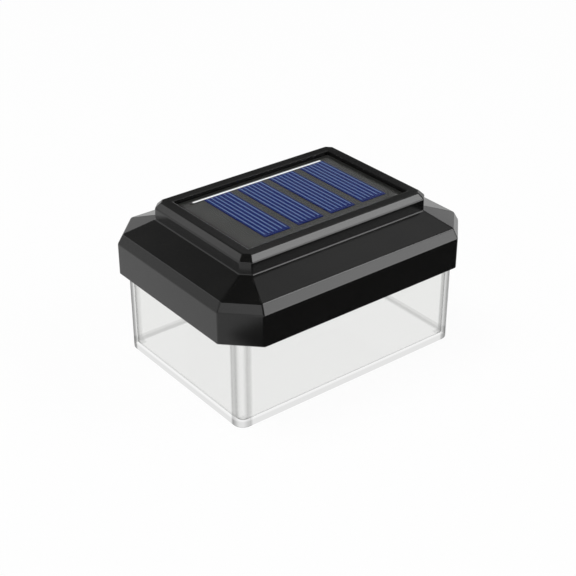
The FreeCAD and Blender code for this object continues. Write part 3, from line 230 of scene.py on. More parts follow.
def makeClearGroup():
    group, given, out = newGroup("clearSurface", [
        ("Smears", "Float", 0.05), ("Ripple", "Float", 0.02), ("Ripple Size", "Float", 90.0)],
        [("Roughness", "Float"), ("Normal", "Vector")])
    place = objectPlace(group)
    cloud = noise(group, place, clearShape["smearScale"], detail=5.0, roughness=0.7)
    smear = spread(group, cloud, *clearShape["smearSpan"])
    feed(group, out["Roughness"], maths(group, "MULTIPLY", smear, given["Smears"]))
    wave = noise(group, place, given["Ripple Size"], detail=1.0)
    feed(group, out["Normal"], bumpNormal(group, wave, given["Ripple"], clearShape["rippleDepth"]))
    return group


# glass-fibre board under lacquer: a woven bump, and square-cornered tracks that show through;
# weave is in radians per metre, and a track lies where two cells of the pattern meet
boardShape = {"weave": 5200.0, "weaveDepth": 0.02 * mm, "trackSpan": (0.1, 0.13), "trackHeight": 3.0,
              "scatter": 0.7, "cloudScale": 90.0, "cloudSpan": (0.3, 0.7), "roughness": (0.3, 0.42)}


def makeBoardGroup():
    group, given, out = newGroup("lacqueredBoard", [
        ("Color", "Color", (0.02, 0.02, 0.02, 1)), ("Track Color", "Color", (0.1, 0.1, 0.1, 1)),
        ("Tracks", "Float", 1.0), ("Track Size", "Float", 230.0), ("Weave", "Float", 0.05)],
        [("Color", "Color"), ("Roughness", "Float"), ("Normal", "Vector")])
    place = objectPlace(group)
    axes = splitPlace(group, place)
    across, along = [maths(group, "SINE", maths(group, "MULTIPLY", axes[axis], boardShape["weave"]))
                     for axis in ("X", "Y")]
    pattern = {"Vector": place, "Scale": given["Track Size"], "Randomness": boardShape["scatter"]}
    second, first = [addNode(group, "TexVoronoi", pattern, distance="CHEBYCHEV", feature=feature)
                     for feature in ("F2", "F1")]
    gap = maths(group, "SUBTRACT", second.outputs["Distance"], first.outputs["Distance"])
    track = spread(group, gap, *boardShape["trackSpan"], start=1.0, end=0.0)
    shown = maths(group, "MULTIPLY", track, given["Tracks"])
    feed(group, out["Color"], mixColor(group, shown, given["Color"], given["Track Color"]))
    cloud = noise(group, place, boardShape["cloudScale"], detail=4.0, roughness=0.6)
    feed(group, out["Roughness"], spread(group, cloud, *boardShape["cloudSpan"], *boardShape["roughness"]))
    threads = maths(group, "MULTIPLY", across, along)
    height = maths(group, "MULTIPLY_ADD", shown, boardShape["trackHeight"], threads)
    feed(group, out["Normal"], bumpNormal(group, height, given["Weave"], boardShape["weaveDepth"]))
    return group


edgeGroup = makeEdgeGroup()
dustGroup = makeDustGroup()
mouldedGroup = makeMouldedGroup()
metalGroup = makeMetalGroup()
clearGroup = makeClearGroup()
boardGroup = makeBoardGroup()
print("shader groups made")


# puts a group's changing values on a Principled shader, whose constant values are in fixed
def dressShader(tree, surface, finish, fixed):
    shader = addNode(tree, "BsdfPrincipled", fixed)
    for label, socket in (("Color", "Base Color"), ("Roughness", "Roughness"), ("Normal", "Normal")):
        if label in surface:
            feed(tree, shader.inputs[socket], surface[label])
    feed(tree, finish, shader.outputs[0])
    return shader


wearAndHighlightPatches = 0.7  # how far edge wear, and the cap's painted edge highlight, come and go: 0 is even, 1 leaves bare gaps


def mouldedPlastic(name, look, edgeWidth=0.0, dust=0.0, **fixed):
    material, tree, finish = newMaterial(name)
    values = dict(look)
    if edgeWidth:
        wornAndHighlit = placeGroup(tree, edgeGroup, {"Width": edgeWidth, "Patches": wearAndHighlightPatches})["Mask"]
        values["Wear And Highlight"] = maths(tree, "MULTIPLY", wornAndHighlit, look["Wear And Highlight"])
    if dust:
        values["Dust"] = placeGroup(tree, dustGroup, {"Amount": dust})["Mask"]
    dressShader(tree, placeGroup(tree, mouldedGroup, values), finish, fixed)
    return material


def metal(name, look):
    material, tree, finish = newMaterial(name)
    dressShader(tree, placeGroup(tree, metalGroup, look), finish, {"Metallic": 1.0})
    return material


# how far a place is into a box's upright corners, beside their diagonals, and in the foot of its walls, where
# the lens gets painted shade lines
def boxEdges(tree, look):
    axes = splitPlace(tree, objectPlace(tree))
    x, y = maths(tree, "ABSOLUTE", axes["X"]), maths(tree, "ABSOLUTE", axes["Y"])
    corner = maths(tree, "MULTIPLY", spread(tree, x, *look["cornerX"]), spread(tree, y, *look["cornerY"]))
    wall = maths(tree, "MAXIMUM", spread(tree, x, *look["wallX"]), spread(tree, y, *look["wallY"]))
    beside = maths(tree, "ABSOLUTE", maths(tree, "SUBTRACT", maths(tree, "SUBTRACT", x, y), look["diagonal"]))
    side = maths(tree, "MULTIPLY", spread(tree, beside, *look["sides"]), look["sideShade"])
    return corner, side, maths(tree, "MULTIPLY", wall, spread(tree, axes["Z"], *look["foot"]))


# clear plastic refracts what is seen through it, and lets lamp light straight through;
# it is painted greyer where it turns away from the view, a painted shade, with an edges entry only at the
# corners and the foot, and then the face that it stands on lets everything straight through
def clearPlastic(name, look, surface):
    material, tree, finish = newMaterial(name)
    facing = addNode(tree, "LayerWeight", {"Blend": 0.5}).outputs["Facing"]
    amount = spread(tree, facing, *look["turning"])
    if "edges" in look:
        corner, side, foot = boxEdges(tree, look["edges"])
        amount = maths(tree, "MULTIPLY", maths(tree, "ADD", amount, side), corner)
        amount = maths(tree, "MULTIPLY_ADD", foot, look["edges"]["footShade"], amount)
    # painted shade: the colour goes towards rim where the surface turns away from the view, and at the lens's
    # corners and foot
    color = mixColor(tree, amount, look["color"], look["rim"])
    shader = dressShader(tree, placeGroup(tree, clearGroup, surface), finish,
                         {"Base Color": color, "IOR": look["ior"], "Transmission Weight": 1.0})
    through = addNode(tree, "BsdfTransparent", {"Color": look["shade"]})
    path = addNode(tree, "LightPath").outputs
    lit = maths(tree, "MAXIMUM", path["Is Shadow Ray"], path["Is Diffuse Ray"])
    if "edges" in look:
        standing = spread(tree, splitPlace(tree, objectPlace(tree))["Z"], *look["edges"]["standing"])
        lit = maths(tree, "MAXIMUM", lit, standing)
    feed(tree, finish, mixShader(tree, lit, shader.outputs[0], through.outputs[0]))
    return material


def setMaterial(material, *names):
    for name in names:
        mesh = nodes[name].data
        mesh.materials.clear()
        mesh.materials.append(material)


# on the cap the edge colour is lighter than the plastic, a painted highlight: a pale line along every sharp
# edge
capLook = {"Color": (0.0072, 0.0072, 0.007, 1), "Roughness": 0.15, "Grain": 0.05, "Grain Size": 2600.0,
           "Mottle": 0.08, "Wear And Highlight": 0.35, "Wear And Highlight Color": (0.03, 0.03, 0.029, 1)}
capPlastic = mouldedPlastic("capPlastic", capLook, edgeWidth=0.4 * mm, dust=0.006, IOR=1.5)
setMaterial(capPlastic, "top_cap")

bracketLook = {"Color": (0.011, 0.011, 0.011, 1), "Roughness": 0.38, "Grain": 0.3, "Grain Size": 3400.0,
               "Mottle": 0.12, "Wear And Highlight": 0.6, "Wear And Highlight Color": (0.06, 0.06, 0.058, 1)}
bracketPlastic = mouldedPlastic("bracketPlastic", bracketLook, edgeWidth=0.4 * mm, dust=0.01, IOR=1.5)
setMaterial(bracketPlastic, "wall_bracket")

whiteLook = {"Color": (0.8, 0.8, 0.78, 1), "Roughness": 0.34, "Grain": 0.12, "Grain Size": 2200.0,
             "Mottle": 0.15, "Wear And Highlight": 0.5, "Wear And Highlight Color": (0.62, 0.61, 0.58, 1)}
whitePlastic = mouldedPlastic("whitePlastic", whiteLook, edgeWidth=0.3 * mm, IOR=1.5)
doorLook = dict(whiteLook, Color=(0.76, 0.76, 0.745, 1), Roughness=0.4)
doorPlastic = mouldedPlastic("doorPlastic", doorLook, edgeWidth=0.25 * mm, IOR=1.5)
setMaterial(whitePlastic, "base_plate")
setMaterial(doorPlastic, "battery_door")

switchLook = {"Color": (0.012, 0.012, 0.012, 1), "Roughness": 0.35, "Grain": 0.15, "Grain Size": 3000.0,
              "Mottle": 0.1, "Wear And Highlight": 0.5, "Wear And Highlight Color": (0.08, 0.08, 0.08, 1)}
switchPlastic = mouldedPlastic("switchPlastic", switchLook, edgeWidth=0.15 * mm)
setMaterial(switchPlastic, "switch_slider")

rubberLook = {"Color": (0.016, 0.016, 0.017, 1), "Roughness": 0.62, "Grain": 0.4, "Grain Size": 5000.0,
              "Mottle": 0.12}
sealRubber = mouldedPlastic("sealRubber", rubberLook)
setMaterial(sealRubber, "lens_seal")

foamLook = {"Color": (0.03, 0.03, 0.03, 1), "Roughness": 0.85, "Grain": 1.0, "Grain Size": 4200.0,
            "Mottle": 0.1}
tapeFoam = mouldedPlastic("tapeFoam", foamLook)
setMaterial(tapeFoam, "panel_adhesive")

chipLook = {"Color": (0.012, 0.012, 0.013, 1), "Roughness": 0.5, "Grain": 0.35, "Grain Size": 6000.0,
            "Mottle": 0.1, "Wear And Highlight": 0.3, "Wear And Highlight Color": (0.05, 0.05, 0.05, 1)}
chipEpoxy = mouldedPlastic("chipEpoxy", chipLook, edgeWidth=0.1 * mm)
setMaterial(chipEpoxy, "driver_chip")

leadLook = {"Roughness": 0.3, "Grain": 0.15, "Grain Size": 1800.0, "Mottle": 0.2}
redSleeve = mouldedPlastic("redSleeve", dict(leadLook, Color=(0.5, 0.02, 0.015, 1)))
blackSleeve = mouldedPlastic("blackSleeve", dict(leadLook, Color=(0.012, 0.012, 0.012, 1)))
setMaterial(redSleeve, "panel_lead_red", "battery_lead_red")
setMaterial(blackSleeve, "panel_lead_black", "battery_lead_black")

zincLook = {"Color": (0.55, 0.56, 0.57, 1), "Roughness": 0.26, "Grain": (900.0, 900.0, 300.0), "Depth": 0.15,
            "Tarnish": 0.5, "Tarnish Color": (0.34, 0.33, 0.31, 1)}
nickelLook = {"Color": (0.62, 0.6, 0.56, 1), "Roughness": 0.18, "Grain": (2000.0, 200.0, 2000.0), "Depth": 0.08,
              "Tarnish": 0.25, "Tarnish Color": (0.4, 0.36, 0.28, 1)}
pinLook = dict(zincLook, Grain=(150.0, 1600.0, 1600.0), Roughness=0.2)
zincPlate = metal("zincPlate", zincLook)
nickelPlate = metal("nickelPlate", nickelLook)
pinSteel = metal("pinSteel", pinLook)
solderTin = metal("solderTin", dict(zincLook, Color=(0.72, 0.72, 0.71, 1), Roughness=0.22))
copperWire = metal("copperWire", dict(nickelLook, Color=(0.72, 0.26, 0.1, 1), Grain=(400.0, 400.0, 4000.0)))
setMaterial(zincPlate, "base_screws", "board_screws", "switch_body")
setMaterial(nickelPlate, "battery_contact_positive", "battery_contact_negative")
setMaterial(pinSteel, "door_hinge_pin")

# painted shade lines: the side and foot amounts grey the lens beside its corners' diagonals and along the foot
# of its walls
lensEdges = {"cornerX": (48.5 * mm, 49.6 * mm), "cornerY": (32.7 * mm, 33.8 * mm),
             "wallX": (50.8 * mm, 51.6 * mm), "wallY": (35.0 * mm, 35.8 * mm), "foot": (3.4 * mm, 2.6 * mm),
             "footShade": 0.3, "diagonal": 15.8 * mm, "sides": (1.2 * mm, 3.2 * mm), "sideShade": 0.22,
             "standing": (0.04 * mm, 0.02 * mm)}
# the lens's rim colour is painted shade, near black where its wall turns away and in lines at its corners and
# foot; its grey color is partly painted shade too, in place of light its walls reflect away
lensLook = {"color": (0.9, 0.902, 0.895, 1), "rim": (0.1, 0.1, 0.099, 1), "turning": (0.15, 1.0), "ior": 1.1,
            "shade": (0.95, 0.95, 0.95, 1), "edges": lensEdges}
lensPlastic = clearPlastic("lensPlastic", lensLook, {"Smears": 0.02, "Ripple": 0.02, "Ripple Size": 70.0})
# the cover's and the lamps' rim colours are a faint painted shade where they turn away from the view
coverLook = {"color": (1.0, 1.0, 1.0, 1), "rim": (0.9, 0.92, 0.95, 1), "turning": (0.9, 1.0), "ior": 1.05,
             "shade": (1.0, 1.0, 1.0, 1)}
coverLaminate = clearPlastic("coverLaminate", coverLook, {"Smears": 0.0, "Ripple": 0.01, "Ripple Size": 200.0})
lampLook = {"color": (0.98, 0.97, 0.92, 1), "rim": (0.9, 0.88, 0.8, 1), "turning": (0.6, 1.0), "ior": 1.45,
            "shade": (0.95, 0.94, 0.9, 1)}
lampEpoxy = clearPlastic("lampEpoxy", lampLook, {"Smears": 0.1, "Ripple": 0.02, "Ripple Size": 400.0})
setMaterial(lensPlastic, "lens_box")
setMaterial(coverLaminate, "panel_cover")
setMaterial(lampEpoxy, "led_1", "led_2")


def lacqueredBoard(name, look, **fixed):
    material, tree, finish = newMaterial(name)
    dressShader(tree, placeGroup(tree, boardGroup, look), finish, fixed)
    return material


panelBoardLook = {"Color": (0.026, 0.0265, 0.0248, 1), "Tracks": 0.0, "Weave": 0.04}
greenBoardLook = {"Color": (0.008, 0.09, 0.03, 1), "Track Color": (0.03, 0.2, 0.06, 1), "Tracks": 1.0,
                  "Weave": 0.12}
blackBoard = lacqueredBoard("blackBoard", panelBoardLook, IOR=1.2)
greenBoard = lacqueredBoard("greenBoard", greenBoardLook)
setMaterial(blackBoard, "panel_board")
setMaterial(greenBoard, "circuit_board")


# coated silicon: flat crystals of slightly different blue and gloss, with a faint cloud over them
def siliconCell(name, look):
    material, tree, finish = newMaterial(name)
    place = objectPlace(tree)
    crystals = addNode(tree, "TexVoronoi", {"Vector": place, "Scale": look["crystalScale"]})
    tone = splitPlace(tree, crystals.outputs["Color"])["X"]
    cloud = noise(tree, place, look["cloudScale"], detail=3.0)
    shift = maths(tree, "MULTIPLY_ADD", cloud, look["cloud"], maths(tree, "MULTIPLY", tone, look["crystal"]))
    grain = noise(tree, place, look["grainScale"])
    surface = {"Color": mixColor(tree, shift, look["dark"], look["light"]),
               "Roughness": spread(tree, tone, 0.0, 1.0, *look["roughness"]),
               "Normal": bumpNormal(tree, grain, look["grain"], look["grainDepth"])}
    dressShader(tree, surface, finish, {"IOR": look["ior"]})
    return material


cellLook = {"crystalScale": 420.0, "crystal": 0.7, "cloudScale": 300.0, "cloud": 0.3, "grainScale": 2500.0,
            "grain": 0.05, "grainDepth": 0.01 * mm, "roughness": (0.28, 0.34), "ior": 1.12,
            "dark": (0.0, 0.006, 0.086, 1), "light": (0.0, 0.009, 0.105, 1)}
siliconBlue = siliconCell("siliconBlue", cellLook)
setMaterial(siliconBlue, "solar_cell_1", "solar_cell_2", "solar_cell_3", "solar_cell_4")

silverLook = {"Color": (0.1, 0.2, 0.4, 1), "Roughness": 0.5, "Grain": 0.5, "Grain Size": 6000.0, "Mottle": 0.15}
silverPaste = mouldedPlastic("silverPaste", silverLook)


# tinned ribbon: painted near white along its middle, its pale tin with a painted reflection of bright light on
# it, and dull where the lacquer runs up over its edges
def ribbonTin(name, look):
    material, tree, finish = newMaterial(name)
    axes = splitPlace(tree, objectPlace(tree))
    cloud = noise(tree, objectPlace(tree), look["waverScale"])
    waver = maths(tree, "MULTIPLY_ADD", cloud, look["waver"], -look["waver"] / 2)
    edge = maths(tree, "ADD", axes["Y"], waver)
    bare = maths(tree, "MULTIPLY", spread(tree, edge, *look["front"]), spread(tree, edge, *look["back"]))
    bare = maths(tree, "MULTIPLY", bare, spread(tree, axes["X"], *look["left"]))
    color = mixColor(tree, bare, look["lacquer"], look["tinAndGlare"])
    surface = placeGroup(tree, mouldedGroup, {"Color": color, "Roughness": 0.5, "Grain": 0.3,
                                              "Grain Size": 2400.0, "Mottle": 0.2})
    dressShader(tree, surface, finish, {"IOR": 1.3})
    return material


# the bare ribbon's colour is near white and diffuse: the tin's own pale colour with a painted reflection of
# bright light on top
ribbonLook = {"tinAndGlare": (0.95, 0.95, 0.94, 1), "lacquer": (0.012, 0.012, 0.012, 1),
              "front": (20.8 * mm, 20.95 * mm), "back": (22.05 * mm, 21.9 * mm),
              "left": (-32.1 * mm, -31.9 * mm), "waver": 0.1 * mm, "waverScale": 500.0}
tinnedRibbon = ribbonTin("tinnedRibbon", ribbonLook)
setMaterial(tinnedRibbon, "bus_ribbon")


# battery film: green, with a pale band at the positive end and a gloss that varies
def batteryFilm(name, look):
    material, tree, finish = newMaterial(name)
    along = splitPlace(tree, objectPlace(tree))["X"]
    started = spread(tree, along, *look["bandStart"])
    band = maths(tree, "MULTIPLY", started, spread(tree, along, *look["bandEnd"], start=1.0, end=0.0))
    body = mixColor(tree, band, look["body"], look["band"])
    surface = placeGroup(tree, mouldedGroup, {"Color": body, "Roughness": 0.22, "Grain": 0.03,
                                              "Grain Size": 900.0, "Mottle": 0.2})
    dressShader(tree, surface, finish, {"IOR": 1.5})
    return material


filmLook = {"body": (0.02, 0.13, 0.045, 1), "band": (0.62, 0.63, 0.6, 1),
            "bandStart": (13.0 * mm, 13.1 * mm), "bandEnd": (21.0 * mm, 21.1 * mm)}
greenFilm = batteryFilm("greenFilm", filmLook)
phosphorLook = {"Color": (0.85, 0.6, 0.06, 1), "Roughness": 0.5, "Grain": 0.3, "Grain Size": 8000.0,
                "Mottle": 0.1}
phosphor = mouldedPlastic("phosphor", phosphorLook)
canLook = {"Color": (0.02, 0.022, 0.05, 1), "Roughness": 0.28, "Grain": 0.06, "Grain Size": 1500.0,
           "Mottle": 0.15}
canSleeve = mouldedPlastic("canSleeve", canLook)
ceramicLook = {"Color": (0.02, 0.02, 0.022, 1), "Roughness": 0.4, "Grain": 0.3, "Grain Size": 7000.0,
               "Mottle": 0.1}
resistorBody = mouldedPlastic("resistorBody", ceramicLook)
print("materials done")


# a bevel modifier rounds the edges of CAD nodes whose faces meet at more than the angle (degrees)
bevelShape = {"segments": 3, "weld": 0.001,
              "widths": {"wall_bracket": 0.35, "base_plate": 0.12, "battery_door": 0.15,
                         "switch_slider": 0.15, "switch_body": 0.15, "driver_chip": 0.1, "bus_ribbon": 0.04,
                         "base_screws": 0.2, "board_screws": 0.15, "lens_seal": 0.2, "door_hinge_pin": 0.15}}


def softenEdges(name, width, angle=25, clamp=True):
    node = nodes[name]
    weld = node.modifiers.new("weld", "WELD")
    weld.merge_threshold = bevelShape["weld"] * mm
    bevel = node.modifiers.new("edges", "BEVEL")
    bevel.width = width * mm
    bevel.segments = bevelShape["segments"]
    bevel.limit_method = "ANGLE"
    bevel.angle_limit = math.radians(angle)
    bevel.harden_normals = True
    bevel.use_clamp_overlap = clamp


softenEdges("top_cap", 0.45, angle=12, clamp=False)  # the clamp would shrink its bevels to nothing
for nodeName, edgeWidth in bevelShape["widths"].items():
    softenEdges(nodeName, edgeWidth)
print("edges softened")


def boxOf(name):
    low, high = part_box(name)
    return np.array(low) / mm, np.array(high) / mm


# the middle of a round node's foot, its radius and its height
def standingRound(name):
    low, high = boxOf(name)
    return ((low[0] + high[0]) / 2, (low[1] + high[1]) / 2, low[2]), (high[0] - low[0]) / 2, high[2] - low[2]


# quads between neighbours in a grid of rows x columns, whose last column joins the first;
# with closedRows the last row joins the first too
def gridFaces(rows, columns, closedRows=False):
    row = np.arange(rows if closedRows else rows - 1)[:, None]
    column = np.arange(columns)[None, :]
    nextRow = (row + 1) % rows
    nextColumn = (column + 1) % columns
    corners = [row * columns + column, row * columns + nextColumn,
               nextRow * columns + nextColumn, nextRow * columns + column]
    return np.stack(np.broadcast_arrays(*corners), axis=-1).reshape(-1, 4).tolist()


# the same grid, with one flat face over its first row and one over its last
def cappedFaces(rows, columns):
    last = (rows - 1) * columns
    return gridFaces(rows, columns) + [list(range(columns))[::-1], list(range(last, last + columns))]


# the angle of each point on a rectangle's round corners, and which side of the middle its corner is on
def roundCorners(steps):
    quarter = np.radians(np.linspace(0, 90, steps))
    angle = np.concatenate([quarter + np.pi / 2 * k for k in range(4)])
    return angle, np.repeat([1, -1, -1, 1], steps), np.repeat([1, 1, -1, -1], steps)


# profile (radius, height), lowest first, turned about the axis: (radius cos a, radius sin a, height);
# an open profile gets a flat face at each end, and a closed one makes a ring
def turned(profile, centre=(0, 0, 0), steps=48, closed=False, alongX=False):
    profile = np.asarray(profile, float)
    radius, height = profile[:, 0], profile[:, 1:]
    angle = np.linspace(0, 2 * np.pi, steps, endpoint=False)
    points = np.stack([np.outer(radius, np.cos(angle)), np.outer(radius, np.sin(angle)),
                       np.repeat(height, steps, axis=1)], axis=-1).reshape(-1, 3)
    if alongX:
        points = points[:, [2, 0, 1]]
    rows = len(profile)
    faces = gridFaces(rows, steps, closedRows=True) if closed else cappedFaces(rows, steps)
    return points + np.asarray(centre, float), faces


# a closed profile (p, q), anticlockwise, carried along a path whose direction is side x up:
# point = path point + size (p side + q up); both ends are closed
def carried(profile, path, side, up, size=1.0):
    profile = np.asarray(profile, float)
    path = np.asarray(path, float)
    side = np.broadcast_to(np.asarray(side, float), path.shape)
    up = np.broadcast_to(np.asarray(up, float), path.shape)
    size = np.broadcast_to(np.asarray(size, float), len(path))[:, None, None]
    offsets = profile[None, :, :1] * side[:, None] + profile[None, :, 1:] * up[:, None]
    return (path[:, None] + size * offsets).reshape(-1, 3), cappedFaces(len(path), len(profile))


# a box with round edges: corner of the inner box towards n, plus radius x n, for n over a sphere's grid
def softBlock(size, centre, radius, steps=4):
    around, signX, signY = roundCorners(steps)
    quarter = around[:steps]
    lift = np.concatenate([quarter - np.pi / 2, quarter])
    inner = np.asarray(size, float) / 2 - radius
    x = signX * inner[0] + radius * np.outer(np.cos(lift), np.cos(around))
    y = signY * inner[1] + radius * np.outer(np.cos(lift), np.sin(around))
    z = np.repeat([-1, 1], steps) * inner[2] + radius * np.sin(lift)
    points = np.stack([x, y, np.repeat(z[:, None], len(around), axis=1)], axis=-1).reshape(-1, 3)
    return points + np.asarray(centre, float), cappedFaces(len(lift), len(around))


# one object from several surfaces in millimetres; it rides on a body and takes a material slot's name
joinDistance = 0.0005


def addPiece(name, surfaces, material, body, sharpAngle=35):
    starts = np.cumsum([0] + [len(points) for points, faces in surfaces]).tolist()
    allPoints = np.vstack([points for points, faces in surfaces]) * mm
    allFaces = [[index + start for index in face]
                for start, (points, faces) in zip(starts, surfaces) for face in faces]
    mesh = bpy.data.meshes.new(name)
    mesh.from_pydata(allPoints.tolist(), [], allFaces)
    work = bmesh.new()
    work.from_mesh(mesh)
    bmesh.ops.remove_doubles(work, verts=work.verts, dist=joinDistance * mm)
    work.to_mesh(mesh)
    work.free()
    mesh.validate()
    mesh.shade_smooth()
    mesh.set_sharp_from_angle(angle=math.radians(sharpAngle))
    mesh.materials.append(material)
    piece = bpy.data.objects.new(name, mesh)
    bpy.context.scene.collection.objects.link(piece)
    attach(piece, body)
    return piece


# silver fingers: six flat ridges along each cell, printed up to its back end;
# places are fractions of a cell's width, and fullness below 1 makes a ridge's section squarer
fingerShape = {"width": 0.34, "height": 0.03, "steps": 9, "fullness": 0.5, "frontGap": 1.6, "backGap": 0.02,
               "cells": ("solar_cell_1", "solar_cell_2", "solar_cell_3", "solar_cell_4"),
               "places": (0.10, 0.26, 0.42, 0.58, 0.75, 0.92)}


def makeFingers():
    turn = np.linspace(0, np.pi, fingerShape["steps"])
    across, above = np.cos(turn), np.abs(np.sin(turn))
    fullness = fingerShape["fullness"]
    arch = np.stack([fingerShape["width"] / 2 * np.sign(across) * np.abs(across) ** fullness,
                     fingerShape["height"] * above ** fullness], axis=-1)
    surfaces = []
    for cell in fingerShape["cells"]:
        low, high = boxOf(cell)
        back, front = high[1] - fingerShape["backGap"], low[1] + fingerShape["frontGap"]
        for place in fingerShape["places"]:
            x = low[0] + place * (high[0] - low[0])
            surfaces.append(carried(arch, [(x, back, high[2]), (x, front, high[2])], (1, 0, 0), (0, 0, 1)))
    addPiece("cell_fingers", surfaces, silverPaste, "head")


makeFingers()

# trim round the cap's window: its top slopes a little inwards and lies over the window's edge;
# each profile point (out from the window's wall, height) runs round the window with small corners
trimShape = {"half": (39.2, 24.7), "corner": 0.5, "steps": 5,
             "profile": [(-0.12, 65.75), (0.45, 65.75), (0.66, 66.79), (0.0, 66.68), (-0.1, 66.6)]}


def makeTrim():
    profile, corner = np.array(trimShape["profile"]), trimShape["corner"]
    angle, signX, signY = roundCorners(trimShape["steps"])
    radius = corner + profile[:, :1]
    x = signX * (trimShape["half"][0] - corner) + radius * np.cos(angle)
    y = signY * (trimShape["half"][1] - corner) + radius * np.sin(angle)
    z = np.repeat(profile[:, 1:], len(angle), axis=1)
    ring = np.stack([x, y, z], axis=-1).reshape(-1, 3), gridFaces(len(profile), len(angle), closedRows=True)
    addPiece("window_trim", [ring], capPlastic, "head", sharpAngle=30)


makeTrim()

# battery: a steel can with its terminals, in a shrunk film that laps over both ends
batteryShape = {"centre": (0, 14.0, 53.7), "steps": 72,
                "can": [(0.6, -24.56), (4.4, -24.56), (4.7, -24.4), (5.8, -24.36), (6.6, -24.2), (6.95, -23.8),
                        (7.0, -23.2), (7.0, 23.0), (6.9, 23.6), (6.4, 24.0), (5.0, 24.1), (3.1, 24.16),
                        (2.75, 24.4), (2.7, 25.3), (2.55, 25.65), (2.2, 25.8), (0.6, 25.8)],
                "film": [(5.6, -24.6), (6.7, -24.56), (7.03, -24.25), (7.1, -23.7), (7.1, 23.7), (7.03, 24.25),
                         (6.7, 24.56), (5.3, 24.6), (5.3, 24.45), (6.5, 24.3), (7.02, 23.7), (7.02, -23.7),
                         (6.6, -24.38), (5.6, -24.45)]}


def makeBattery():
    centre, steps = batteryShape["centre"], batteryShape["steps"]
    can = turned(batteryShape["can"], centre, steps, alongX=True)
    film = turned(batteryShape["film"], centre, steps, closed=True, alongX=True)
    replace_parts(addPiece("battery_can", [can], nickelPlate, "head"), "battery")
    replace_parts(addPiece("battery_film", [film], greenFilm, "head"), "battery")


makeBattery()

# screw threads: a ridge that climbs round each shank and fades out at both ends;
# path point = (radius cos a, radius sin a, low + pitch x turns)
threadShape = {"base": {"places": [(-46, -30), (46, -30), (46, 30), (-46, 30)], "radius": 1.25, "low": 46.0,
                        "high": 52.9, "pitch": 1.0, "ridge": 0.2},
               "board": {"places": [(-17, -8), (33, -8)], "radius": 0.95, "low": 46.4, "high": 49.5,
                         "pitch": 0.7, "ridge": 0.14}}
ridgeShape = {"stepsPerTurn": 28, "thinnest": 0.05, "foot": 0.3, "crest": 0.04, "sunk": 0.06}


def threadAround(x, y, look):
    turns = (look["high"] - look["low"]) / look["pitch"]
    angle = np.linspace(0, 2 * np.pi * turns, int(ridgeShape["stepsPerTurn"] * turns))
    side = np.stack([np.cos(angle), np.sin(angle), 0 * angle], axis=-1)
    path = np.array([x, y, look["low"]]) + look["radius"] * side
    path[:, 2] += look["pitch"] * angle / (2 * np.pi)
    fade = np.clip(np.minimum(angle, angle[-1] - angle) / np.pi, ridgeShape["thinnest"], 1)
    foot, crest, sunk = ridgeShape["foot"] * look["pitch"], ridgeShape["crest"], ridgeShape["sunk"]
    profile = [(-sunk, -foot), (look["ridge"], -crest), (look["ridge"], crest), (-sunk, foot)]
    return carried(profile, path, side, (0, 0, -1), size=fade)


for threadName, threadLook in threadShape.items():
    threads = [threadAround(x, y, threadLook) for x, y in threadLook["places"]]
    addPiece(threadName + "_screw_threads", threads, zincPlate, "head")

# inside each lamp: two posts with their heads as (size, shift in x, height, radius),
# a cup that faces down, and the yellow dot in the cup
lampShape = {"places": [(-9.0, -14.0), (9.0, -14.0)],
             "posts": [((0.5, 0.5, 4.0), -1.0, 47.4, 0.08), ((1.7, 0.6, 1.2), -0.4, 46.1, 0.12),
                       ((0.5, 0.5, 3.2), 1.1, 47.8, 0.08), ((0.9, 0.6, 0.9), 1.0, 46.2, 0.12)],
             "cup": [(0.3, 45.2), (0.5, 45.2), (0.86, 44.4), (1.0, 44.4), (0.55, 45.6), (0.3, 45.6)],
             "dot": [(0.06, 44.42), (0.45, 44.5), (0.78, 44.75), (0.5, 45.15), (0.06, 45.18)]}


def makeLampInsides():
    frames, dots = [], []
    for x, y in lampShape["places"]:
        frames += [softBlock(size, (x + shift, y, height), radius)
                   for size, shift, height, radius in lampShape["posts"]]
        frames.append(turned(lampShape["cup"], (x, y, 0), closed=True))
        dots.append(turned(lampShape["dot"], (x, y, 0)))
    addPiece("lamp_frames", frames, nickelPlate, "head")
    addPiece("lamp_dots", dots, phosphor, "head")


makeLampInsides()

# driver chip's pins: flat strips that step down from its sides to the board;
# path holds (out from the chip's side, height over its foot)
pinShape = {"perSide": 4, "pitch": 1.143, "width": 0.4, "thick": 0.15,
            "path": [(-0.2, 0.75), (0.25, 0.75), (0.5, 0.12), (1.0, 0.02)]}


def makeChipPins():
    low, high = boxOf("driver_chip")
    half, thick = pinShape["width"] / 2, pinShape["thick"]
    profile = [(-half, 0), (half, 0), (half, thick), (-half, thick)]
    surfaces = []
    for number in range(pinShape["perSide"]):
        x = (low[0] + high[0]) / 2 + (number - (pinShape["perSide"] - 1) / 2) * pinShape["pitch"]
        for edge, out in ((low[1], -1), (high[1], 1)):
            path = [(x, edge + out * reach, low[2] + height) for reach, height in pinShape["path"]]
            surfaces.append(carried(profile, path, (-out, 0, 0), (0, 0, 1)))
    addPiece("chip_pins", surfaces, solderTin, "head")


makeChipPins()

# inductor: a ferrite bobbin, dimpled on top, with a copper winding between its flanges;
# the winding's radius = winding + ripple x |sin| once for each wire
coilShape = {"flange": 0.7, "core": 1.4, "chamfer": 0.15, "dimple": (0.9, 0.75, 0.3), "axis": 0.2,
             "winding": 2.45, "wire": 0.24, "ripple": 0.08, "step": 0.02, "inner": 1.5}


